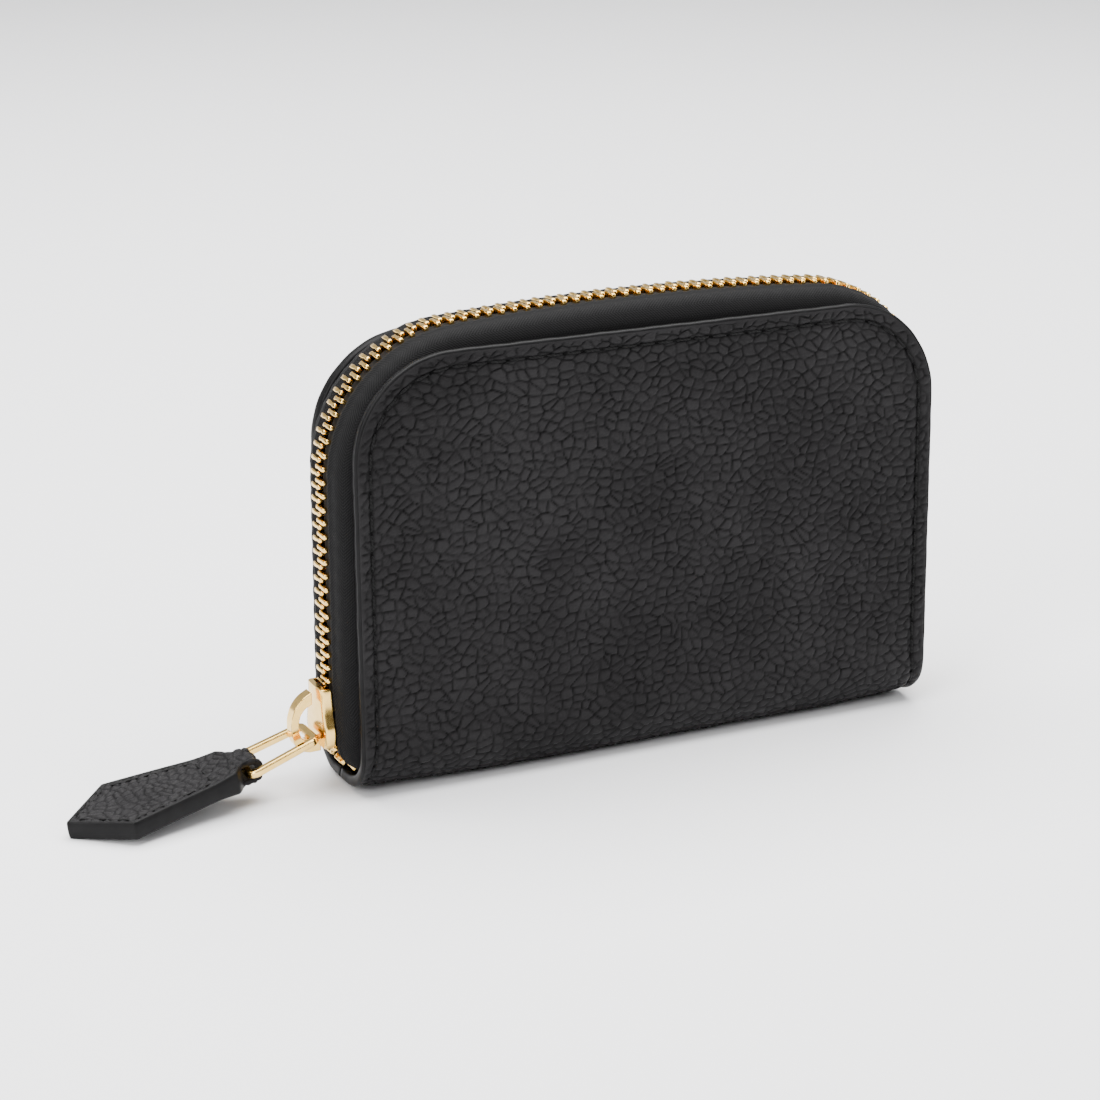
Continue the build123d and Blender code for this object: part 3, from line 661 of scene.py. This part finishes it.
def pull_ring():
    """Ring of bevelled square wire, narrower at the slider than at the tab."""
    reach = float(np.linalg.norm(TAB_AT - RING_AT))
    along = (TAB_AT - RING_AT) / reach
    up = np.array([along[2], 0, -along[0]])
    near, far = 3.5, 4.3
    corners = [(0, -near), (0, near), (reach, far), (reach, -far)]
    line = round_corners(corners, [1.0, 1.0, 1.3, 1.3], 8)
    wide, thick, cut = 0.70, 0.65, 0.26
    section = [(wide, thick - cut), (wide - cut, thick), (cut - wide, thick), (-wide, thick - cut),
               (-wide, cut - thick), (cut - wide, -thick), (wide - cut, -thick), (wide, cut - thick)]
    points = []
    count = len(line)
    for index in range(count):
        before, after = line[index - 1], line[(index + 1) % count]
        tangent = (after - before) / np.linalg.norm(after - before)
        normal = np.array([tangent[1], -tangent[0]])
        for out, high in section:
            a, b = line[index] + normal * out
            points.append(RING_AT + along * a + np.array([0, b, 0]) + up * high)
    faces = grid_faces(count, len(section), loop_rows=True, loop_columns=True)
    piece = new_piece("ring_wire", points, faces, MATERIALS["gold"])
    return bevelled(piece, 0.07, 2, 30)


# The tab's own sizes, from the ring's long bar to the tip.
TAB_LENGTH = 31.7
TAB_SHOULDER = 22.4
TAB_HALF_FOLD = 3.15
TAB_HALF_EYE = 5.2
TAB_HALF_WIDE = 9.2
TAB_NOTCH = 1.3
TAB_HALF_T = 1.6
TAB_EYE_OUT = 2.25
TAB_SWAY = 2.6  # the tip lies this far towards the front
TAB_DROP = radians(8.5)
TAB_ALONG = np.array([-cos(TAB_DROP), 0, -sin(TAB_DROP)])
TAB_UP = np.array([-sin(TAB_DROP), 0, cos(TAB_DROP)])


def tab_point(u, v, w):
    """Row-frame point from the tab's own length, width and height."""
    u, v, w = np.broadcast_arrays(np.asarray(u, float), v, w)
    sway = -TAB_SWAY * (np.maximum(u, 0) / TAB_LENGTH) ** 1.4
    sideways = np.stack([0 * v, v + sway, 0 * v], axis=-1)
    return TAB_AT + u[..., None] * TAB_ALONG + w[..., None] * TAB_UP + sideways


def tab_half_width(u):
    slope = (TAB_HALF_WIDE - TAB_HALF_EYE) / (TAB_SHOULDER - TAB_NOTCH)
    wide = TAB_HALF_EYE + slope * (u - TAB_NOTCH)
    point = TAB_HALF_WIDE * (TAB_LENGTH - u) / (TAB_LENGTH - TAB_SHOULDER)
    neck = TAB_HALF_FOLD + (wide - TAB_HALF_FOLD) * smoothstep(u, 0.7, 3.0)
    return np.minimum(neck, point)


def tab_half_height(u):
    """Half the tab's thickness: the eye's height at the ring, easing down to the flat body."""
    return TAB_HALF_T + (TAB_EYE_OUT - TAB_HALF_T) * (1 - smoothstep(u, 0, 7.5))


def tab_face(way, name, seed):
    """Grained leather on one face of the tab, from the middle of the fold to the tip."""
    spacing = 0.28
    inset = 0.35
    fold_steps = 14
    fold = [(-0.6 - TAB_EYE_OUT * cos(pi / 2 * k / fold_steps), TAB_EYE_OUT * sin(pi / 2 * k / fold_steps))
            for k in range(fold_steps)]
    flat_u = np.arange(-0.6, TAB_LENGTH - 0.5, spacing)
    line = fold + [(u, float(tab_half_height(u))) for u in flat_u]
    columns = 57
    line = np.array(line)
    u, w = line[:, 0], line[:, 1]
    half = tab_half_width(u) - inset
    half = np.maximum(half, 0.15)
    t = np.linspace(-1, 1, columns)
    v = half[:, None] * t[None, :]
    travel = np.concatenate([[0], np.cumsum(np.hypot(np.diff(u), np.diff(w)))])
    along = np.repeat(travel[:, None], columns, axis=1)
    grain, crease_shade = pebble(along + 40, v * way + 200, PEBBLE, seed)
    edge = half[:, None] - np.abs(v)
    to_tip = (TAB_LENGTH - 0.5 - u)[:, None]
    edge = np.where(u[:, None] < 1.5, 9.0, np.minimum(edge, to_tip))
    line_groove = np.exp(-((edge - 1.15) / 0.28) ** 2) * smoothstep(u[:, None], 5.0, 6.5)
    cross = np.exp(-((u[:, None] - 6.9) / 0.32) ** 2) * (edge > 1.0)
    fade = smoothstep(edge, 0.0, 0.7)
    rim = 0.15 * (1 - smoothstep(edge, 0, 0.6))
    lift = 0.40 * (grain - 0.75) * fade - 0.20 * np.maximum(line_groove, cross) - rim
    normal = np.gradient(line, axis=0)
    normal = np.stack([-normal[:, 1], normal[:, 0]], axis=1)
    normal /= np.linalg.norm(normal, axis=1)[:, None]
    top_u = u[:, None] + normal[:, :1] * lift
    top_w = w[:, None] + normal[:, 1:] * lift
    low_u = u[:, None] - normal[:, :1] * 1.05 + 0 * v
    low_w = w[:, None] - normal[:, 1:] * 1.05 + 0 * v
    points = np.concatenate([tab_point(top_u, v, way * top_w).reshape(-1, 3),
                             tab_point(low_u, v, way * low_w).reshape(-1, 3)])
    rows, count = len(line), len(line) * columns
    faces = sheet_faces(rows, columns, way > 0)
    # painted shade: darker colour in the grain's creases on the tab
    values = np.concatenate([(crease_shade * fade).ravel(), np.zeros(count)])
    return new_piece(name, points, faces, MATERIALS["leather"], values={"crease_shade": values})


def tab_edge():
    """Painted edge round the tab, from one notch over the tip to the other."""
    neck = [(u, float(tab_half_width(u))) for u in np.linspace(1.6, 4.0, 13)]
    corners = [(1.6, 0.3)] + neck + [(TAB_SHOULDER, TAB_HALF_WIDE), (TAB_LENGTH, 0.0)]
    radii = [0, 0.4] + [0] * (len(neck) - 1) + [0.8, 0.5]
    corners += [(u, -v) for u, v in corners[-2::-1]]
    outline = round_corners(corners, radii + radii[-2::-1], 6, closed=False)
    dense = [outline[0]]
    for point in outline[1:]:
        gap = np.linalg.norm(point - dense[-1])
        start = dense[-1]
        for step in range(1, max(1, ceil(gap / 0.6)) + 1):
            dense.append(start + (point - start) * step / max(1, ceil(gap / 0.6)))
    outline = np.array(dense)
    tangent = np.gradient(outline, axis=0)
    outward = np.stack([-tangent[:, 1], tangent[:, 0]], axis=1)
    outward /= np.linalg.norm(outward, axis=1)[:, None]
    shape = [
        (-0.75, -0.90), (-0.38, -1.01), (-0.12, -0.93), (0.0, -0.72), (0.05, -0.3), (0.06, 0.0),
        (0.05, 0.3), (0.0, 0.72), (-0.12, 0.93), (-0.38, 1.01), (-0.75, 0.90),
    ]
    height = tab_half_height(outline[:, 0])
    rings = []
    for out, level in shape:
        edge = outline + outward * out
        rings.append(tab_point(edge[:, 0], edge[:, 1], height * level))
    points = np.stack(rings, axis=1).reshape(-1, 3)
    return new_piece("tab_edge", points, tube_faces(len(outline), len(shape)), MATERIALS["edge"])


def tab_seam():
    """Stitches on both faces of the tab."""
    slope = (TAB_HALF_WIDE - TAB_HALF_EYE) / (TAB_SHOULDER - TAB_NOTCH)
    start = 6.9
    inset = 1.5
    start_half = TAB_HALF_EYE - inset + slope * (start - TAB_NOTCH)
    corners = [(start, -start_half), (TAB_SHOULDER - 0.3, inset - TAB_HALF_WIDE), (TAB_LENGTH - 2.0, 0),
               (TAB_SHOULDER - 0.3, TAB_HALF_WIDE - inset), (start, start_half)]
    stitches = []
    for way in (-1, 1):
        for index, corner in enumerate(corners):
            first, last = np.array(corner), np.array(corners[(index + 1) % len(corners)])
            count = max(2, round(np.linalg.norm(last - first) / 3.1))
            for number in range(count):
                middle = first + (last - first) * (number + 0.5) / count
                step = (last - first) / np.linalg.norm(last - first) * 1.15
                ends = [tab_point(u, v, way * float(tab_half_height(u)))
                        for u, v in (middle - step, middle + step)]
                stitches.append(thread_stitch(ends[0], ends[1], way * TAB_UP, 0.46, 0.10))
    return new_piece("tab_thread", *merge(stitches), MATERIALS["thread"])


# ================================================================ inside
def gusset_cloth(side, name):
    """Folded cloth that closes one end of the coin space."""
    rows, columns = 34, 27
    foot, top = 3.4, 62.0
    points, uv = [], []
    for offset in (0.0, 0.45):
        for row in range(rows):
            z = foot + (top - foot) * row / (rows - 1)
            reach = tape_edge_y(z) - 1.25
            for column in range(columns):
                t = 2 * column / (columns - 1) - 1
                fold = 1 - abs(t) ** 1.5
                x = 48.0 - 7.5 * fold + 0.25 * sin(z / 3.7) * fold - offset
                points.append((side * x, reach * t, z))
                uv.append((t * 10 * MM, z * MM))
    faces = sheet_faces(rows, columns, side < 0)
    return new_piece(name, points, faces, MATERIALS["lining"], uv=uv)


def card_pocket():
    """Flat pocket on the back lining, with a hem along its mouth."""
    half, foot, top = 45.0, 9.0, 58.0
    rows, columns = 60, 60
    heights = np.linspace(foot, top, rows)
    x = np.linspace(-half, half, columns)
    grid_x, grid_h = np.meshgrid(x, heights)
    hem = 0.25 * smoothstep(grid_h, top - 7.2, top - 6.8)
    stitch = 0.12 * np.exp(-((grid_h - top + 6.2) / 0.25) ** 2)
    bulge = 0.25 * np.cos(grid_x / half * pi / 2) * smoothstep(grid_h, foot, top)
    outer = case_point(1, grid_x, grid_h, 3.05 + bulge).reshape(-1, 3)
    inner = case_point(1, grid_x, grid_h, 3.6 + bulge + hem - stitch).reshape(-1, 3)
    faces = sheet_faces(rows, columns, True)
    uv = np.tile(np.stack([grid_x.ravel(), grid_h.ravel()], axis=1) * MM, (2, 1))
    return new_piece("pocket_cloth", np.concatenate([outer, inner]), faces, MATERIALS["lining"], uv=uv)


# ================================================================ materials
def node_material(name):
    """A new material, its nodes, a function that joins two of them, and its shader."""
    material = bpy.data.materials.new(name)
    material.use_nodes = True
    nodes, links = material.node_tree.nodes, material.node_tree.links

    def join(source, output, target, socket):
        links.new(source.outputs[output], target.inputs[socket])

    return material, nodes, join, nodes["Principled BSDF"]


def add(nodes, kind, **values):
    node = nodes.new(kind)
    for key, value in values.items():
        if hasattr(node, key):
            setattr(node, key, value)
        else:
            node.inputs[key].default_value = value
    return node


def ramp(nodes, stops):
    node = nodes.new("ShaderNodeValToRGB")
    elements = node.color_ramp.elements
    elements[0].position, elements[0].color = stops[0][0], (*stops[0][1], 1)
    elements[1].position, elements[1].color = stops[-1][0], (*stops[-1][1], 1)
    for position, colour in stops[1:-1]:
        elements.new(position).color = (*colour, 1)
    return node


def colour(nodes, join, shader, pattern, stops):
    """Base colour that follows a pattern node through a ramp."""
    tint = ramp(nodes, stops)
    join(pattern, "Fac", tint, "Fac")
    join(tint, "Color", shader, "Base Color")


def roughen(nodes, join, shader, source, output, strength, distance):
    """Bump from one of a node's outputs. distance is in metres."""
    bump = add(nodes, "ShaderNodeBump", Strength=strength, Distance=distance)
    join(source, output, bump, "Height")
    join(bump, "Normal", shader, "Normal")


def vary_roughness(nodes, join, shader, pattern, low, high):
    """Roughness that follows a pattern node between two values."""
    gloss = add(nodes, "ShaderNodeMapRange")
    gloss.inputs["To Min"].default_value = low
    gloss.inputs["To Max"].default_value = high
    join(pattern, "Fac", gloss, "Value")
    join(gloss, "Result", shader, "Roughness")


def leather_material():
    """Black pebbled leather: fine pores and wrinkles on the pebbles, and painted shade that darkens the
    creases.
    """
    material, nodes, join, shader = node_material("black_grain_leather")
    where = add(nodes, "ShaderNodeTexCoord")
    crease_shade = add(nodes, "ShaderNodeAttribute", attribute_name="crease_shade")
    cloud = add(nodes, "ShaderNodeTexNoise", Scale=60.0, Detail=3.0)
    wrinkle = add(nodes, "ShaderNodeTexVoronoi", feature="DISTANCE_TO_EDGE", Scale=1300.0)
    pores = add(nodes, "ShaderNodeTexNoise", Scale=4200.0, Detail=4.0, Roughness=0.6)
    for node in (cloud, wrinkle, pores):
        join(where, "Object", node, "Vector")
    tint = ramp(nodes, [(0.35, (0.0125, 0.0119, 0.0124)), (0.65, (0.0185, 0.0177, 0.0184))])
    join(cloud, "Fac", tint, "Fac")
    # painted shade: mixes the base colour towards near black where the crease mask is high, standing in for
    # shade in the creases
    dark = add(nodes, "ShaderNodeMix", data_type="RGBA")
    dark.inputs[7].default_value = (0.0006, 0.0006, 0.0006, 1)
    join(crease_shade, "Fac", dark, 0)
    join(tint, "Color", dark, 6)
    join(dark, 2, shader, "Base Color")
    vary_roughness(nodes, join, shader, pores, 0.32, 0.50)
    clipped = add(nodes, "ShaderNodeMath", operation="MINIMUM")
    clipped.inputs[1].default_value = 0.12
    join(wrinkle, "Distance", clipped, 0)
    mixed = add(nodes, "ShaderNodeMath", operation="MULTIPLY_ADD")
    mixed.inputs[1].default_value = 2.5
    join(clipped, 0, mixed, 0)
    join(pores, "Fac", mixed, 2)
    roughen(nodes, join, shader, mixed, 0, 0.5, 0.00008)
    shader.inputs["Specular IOR Level"].default_value = 0.055
    return material


def edge_material():
    """Smooth painted edge with faint brush waves."""
    material, nodes, join, shader = node_material("painted_edge")
    where = add(nodes, "ShaderNodeTexCoord")
    brush = add(nodes, "ShaderNodeTexNoise", Scale=420.0, Detail=3.0)
    join(where, "Object", brush, "Vector")
    colour(nodes, join, shader, brush, [(0.3, (0.0050, 0.0048, 0.0050)), (0.7, (0.0080, 0.0078, 0.0080))])
    vary_roughness(nodes, join, shader, brush, 0.30, 0.46)
    roughen(nodes, join, shader, brush, "Fac", 0.25, 0.0001)
    shader.inputs["Specular IOR Level"].default_value = 0.08
    return material


def weave_material(name, dark, light, rib, zigzag, sheen):
    """Twill cloth drawn on the piece's own length and width, with the twill turning in bands."""
    material, nodes, join, shader = node_material(name)
    where = add(nodes, "ShaderNodeUVMap", uv_map="Weave")
    split = add(nodes, "ShaderNodeSeparateXYZ")
    join(where, "UV", split, 0)
    fold = add(nodes, "ShaderNodeMath", operation="PINGPONG")
    fold.inputs[1].default_value = zigzag
    join(split, "Y", fold, 0)
    slant = add(nodes, "ShaderNodeMath", operation="ADD")
    join(split, "X", slant, 0)
    join(fold, 0, slant, 1)
    wave = add(nodes, "ShaderNodeMath", operation="MULTIPLY")
    wave.inputs[1].default_value = 2 * pi / rib
    join(slant, 0, wave, 0)
    ribs = add(nodes, "ShaderNodeMath", operation="SINE")
    join(wave, 0, ribs, 0)
    yarn = add(nodes, "ShaderNodeMath", operation="MULTIPLY")
    yarn.inputs[1].default_value = 2 * pi / (rib * 0.7)
    join(split, "Y", yarn, 0)
    yarns = add(nodes, "ShaderNodeMath", operation="SINE")
    join(yarn, 0, yarns, 0)
    both = add(nodes, "ShaderNodeMath", operation="MULTIPLY_ADD")
    both.inputs[1].default_value = 0.35
    join(yarns, 0, both, 0)
    join(ribs, 0, both, 2)
    spot = add(nodes, "ShaderNodeTexCoord")
    fuzz = add(nodes, "ShaderNodeTexNoise", Scale=2500.0, Detail=3.0)
    join(spot, "Object", fuzz, "Vector")
    level = add(nodes, "ShaderNodeMapRange")
    level.inputs["From Min"].default_value = -1.3
    level.inputs["From Max"].default_value = 1.3
    join(both, 0, level, "Value")
    tint = ramp(nodes, [(0.15, dark), (0.9, light)])
    join(level, "Result", tint, "Fac")
    join(tint, "Color", shader, "Base Color")
    total = add(nodes, "ShaderNodeMath", operation="ADD")
    join(level, "Result", total, 0)
    join(fuzz, "Fac", total, 1)
    roughen(nodes, join, shader, total, 0, 0.5, 0.00008)
    shader.inputs["Roughness"].default_value = 0.78
    shader.inputs["Specular IOR Level"].default_value = 0.08
    shader.inputs["Sheen Weight"].default_value = sheen
    shader.inputs["Sheen Roughness"].default_value = 0.4
    return material


def gold_material():
    """Polished pale gold plate with faint polishing marks."""
    material, nodes, join, shader = node_material("pale_gold")
    where = add(nodes, "ShaderNodeTexCoord")
    marks = add(nodes, "ShaderNodeTexNoise", Scale=900.0, Detail=4.0)
    join(where, "Object", marks, "Vector")
    colour(nodes, join, shader, marks, [(0.3, (0.82, 0.53, 0.14)), (0.7, (0.90, 0.61, 0.20))])
    vary_roughness(nodes, join, shader, marks, 0.10, 0.22)
    roughen(nodes, join, shader, marks, "Fac", 0.08, 0.00005)
    shader.inputs["Metallic"].default_value = 1.0
    return material


def thread_material():
    """Black waxed thread with a fine twist."""
    material, nodes, join, shader = node_material("black_thread")
    where = add(nodes, "ShaderNodeTexCoord")
    twist = add(nodes, "ShaderNodeTexWave", bands_direction="DIAGONAL", Scale=900.0, Distortion=1.0)
    join(where, "Object", twist, "Vector")
    colour(nodes, join, shader, twist, [(0.2, (0.0022, 0.0022, 0.0022)), (0.9, (0.0060, 0.0058, 0.0060))])
    roughen(nodes, join, shader, twist, "Fac", 0.5, 0.00006)
    shader.inputs["Roughness"].default_value = 0.6
    shader.inputs["Specular IOR Level"].default_value = 0.12
    return material


def board_material():
    """Bonded fibre board."""
    material, nodes, join, shader = node_material("fibre_board")
    where = add(nodes, "ShaderNodeTexCoord")
    fibre = add(nodes, "ShaderNodeTexNoise", Scale=700.0, Detail=6.0, Roughness=0.7)
    join(where, "Object", fibre, "Vector")
    colour(nodes, join, shader, fibre, [(0.3, (0.30, 0.24, 0.17)), (0.7, (0.46, 0.38, 0.29))])
    roughen(nodes, join, shader, fibre, "Fac", 0.4, 0.0001)
    shader.inputs["Roughness"].default_value = 0.85
    return material


MATERIALS = {
    "leather": leather_material(),
    "edge": edge_material(),
    "tape": weave_material("zip_tape_twill", (0.0030, 0.0030, 0.0031), (0.0105, 0.0102, 0.0105),
                           rib=0.00055, zigzag=0.0021, sheen=0.01),
    "lining": weave_material("lining_twill", (0.006, 0.006, 0.0063), (0.016, 0.0157, 0.016),
                             rib=0.0005, zigzag=1.0, sheen=0.05),
    "gold": gold_material(),
    "thread": thread_material(),
    "board": board_material(),
}


# ================================================================ assembly
def on(piece, slot, body, *nodes):
    """Rides a piece on its body and hides the CAD nodes that it stands for; slot is not used."""
    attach(piece, body)
    if nodes:
        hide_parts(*nodes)
    return piece


BEND_START = (0, -FLAT_HALF * MM, 0)
BEND_END = (0, -(FOOT_HALF - 0.5) * MM, BEND_R * MM)


def across_bend(piece, slot, *nodes, start=BEND_START, end=BEND_END):
    """Bakes a piece of the front half into world space and hides the CAD nodes that it stands for."""
    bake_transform(piece)
    if nodes:
        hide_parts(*nodes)
    return piece


SPACING = 0.335

across_bend(leather_half(-1, "front_grain", 3, SPACING), "leather", "front_leather")
on(leather_half(1, "back_grain", 11, SPACING), "leather", "back_shell", "back_leather")
across_bend(painted_edge(-1, "front_edge"), "leather_edge")
on(painted_edge(1, "back_edge"), "leather_edge", "back_shell")
across_bend(case_seam(-1, "front_seam"), "thread", "front_stitching")
on(case_seam(1, "back_seam"), "thread", "back_shell", "back_stitching")
across_bend(lining_half(-1, "front_lining_cloth"), "lining", "front_lining")
on(lining_half(1, "back_lining_cloth"), "lining", "back_shell", "back_lining")
on(zip_tape(-1, "front_tape"), "zip_tape", "front_shell", "front_zip_tape")
on(zip_tape(1, "back_tape"), "zip_tape", "back_shell", "back_zip_tape")
on(chain_row(-1, "front_chain"), "zip_metal", "front_shell", "front_teeth")
on(chain_row(1, "back_chain"), "zip_metal", "back_shell", "back_teeth")
on(slider_body(), "zip_metal", "zip_slider", "slider_body")
on(slider_arch(), "zip_metal", "zip_slider", "slider_crown")
on(pull_ring(), "zip_metal", "pull_ring", "pull_ring")
on(tab_face(1, "tab_top_grain", 21), "leather", "pull_tab", "pull_tab_strap")
on(tab_face(-1, "tab_under_grain", 27), "leather", "pull_tab")
on(tab_edge(), "leather_edge", "pull_tab", "pull_tab_filler")
on(tab_seam(), "thread", "pull_tab", "tab_stitching")
on(card_pocket(), "lining", "back_shell", "card_pocket")
GUSSET_BEND = 7.4 * MM
for side, node in ((-1, "left_gusset"), (1, "right_gusset")):
    cloth = gusset_cloth(side, node + "_cloth")
    across_bend(cloth, "lining", node, start=(0, GUSSET_BEND, 0), end=(0, -GUSSET_BEND, 0))

for node, material in (("front_top_stop", "gold"), ("back_top_stop", "gold"), ("bottom_stop", "gold"),
                       ("front_stiffener", "board"), ("back_stiffener", "board")):
    slots = frame["nodes"][node].data.materials
    slots.clear()
    slots.append(MATERIALS[material])


# ================================================================ floor, light and camera
def floor_material():
    """Pale matt paper."""
    material, _, _, shader = node_material("floor_paper")
    shader.inputs["Base Color"].default_value = (0.80, 0.80, 0.81, 1)
    shader.inputs["Roughness"].default_value = 0.6
    shader.inputs["Specular IOR Level"].default_value = 0.25
    return material


def sweep_floor():
    """Pale floor that curves up into a backdrop far behind."""
    width, near, far, radius, tall = 3000, -1500, 1200, 600, 1800
    line = [(near, 0), (far, 0)]
    turns = [pi / 2 * step / 12 for step in range(1, 13)]
    line += [(far + radius * sin(turn), radius - radius * cos(turn)) for turn in turns]
    line.append((far + radius, tall))
    points = [(x, y, z) for y, z in line for x in (-width, width)]
    return new_piece("floor", points, grid_faces(len(line), 2), floor_material())


sweep_floor()


def area_light(name, at, target, size, power, colour=(1, 1, 1)):
    light = bpy.data.lights.new(name, "AREA")
    light.shape = "RECTANGLE"
    light.size, light.size_y = size
    light.energy = power
    light.color = colour
    lamp = bpy.data.objects.new(name, light)
    bpy.context.scene.collection.objects.link(lamp)
    lamp.location = at
    lamp.rotation_mode = "QUATERNION"
    lamp.rotation_quaternion = (Vector(target) - Vector(at)).to_track_quat("-Z", "Y")
    return lamp


area_light("overhead", (0.0, 0.15, 1.0), (0, 0.1, 0), (1.5, 1.2), 60.0)
area_light("left_softbox", (-0.9, -0.5, 0.55), (0, 0, 0.03), (0.5, 0.6), 12.0)
area_light("right_softbox", (0.9, -0.6, 0.6), (0, 0, 0.03), (0.4, 0.5), 6.0)

world = bpy.data.worlds.new("studio")
world.use_nodes = True
world.node_tree.nodes["Background"].inputs["Color"].default_value = (1, 1, 1.01, 1)
world.node_tree.nodes["Background"].inputs["Strength"].default_value = 0.16
bpy.context.scene.world = world

CAMERA_AZIMUTH, CAMERA_HEIGHT_ANGLE, CAMERA_ROLL = -25.49, 17.75, -0.18  # degrees
CAMERA_DISTANCE = 494.15
CAMERA_TARGET = Vector((-15.35, 0, 36.16))
CAMERA_FOCUS = 2870.45 / 1100  # focal length in picture widths


def make_camera():
    azimuth, elevation = radians(CAMERA_AZIMUTH), radians(CAMERA_HEIGHT_ANGLE)
    back = Vector((sin(azimuth) * cos(elevation), -cos(azimuth) * cos(elevation), sin(elevation)))
    data = bpy.data.cameras.new("camera")
    data.sensor_width = 36
    data.lens = 36 * CAMERA_FOCUS
    camera = bpy.data.objects.new("camera", data)
    bpy.context.scene.collection.objects.link(camera)
    camera.location = (CAMERA_TARGET + back * CAMERA_DISTANCE) * MM
    camera.rotation_mode = "QUATERNION"
    roll = Matrix.Rotation(radians(CAMERA_ROLL), 4, "Z").to_quaternion()
    camera.rotation_quaternion = (-back).to_track_quat("-Z", "Y") @ roll
    bpy.context.scene.camera = camera


make_camera()
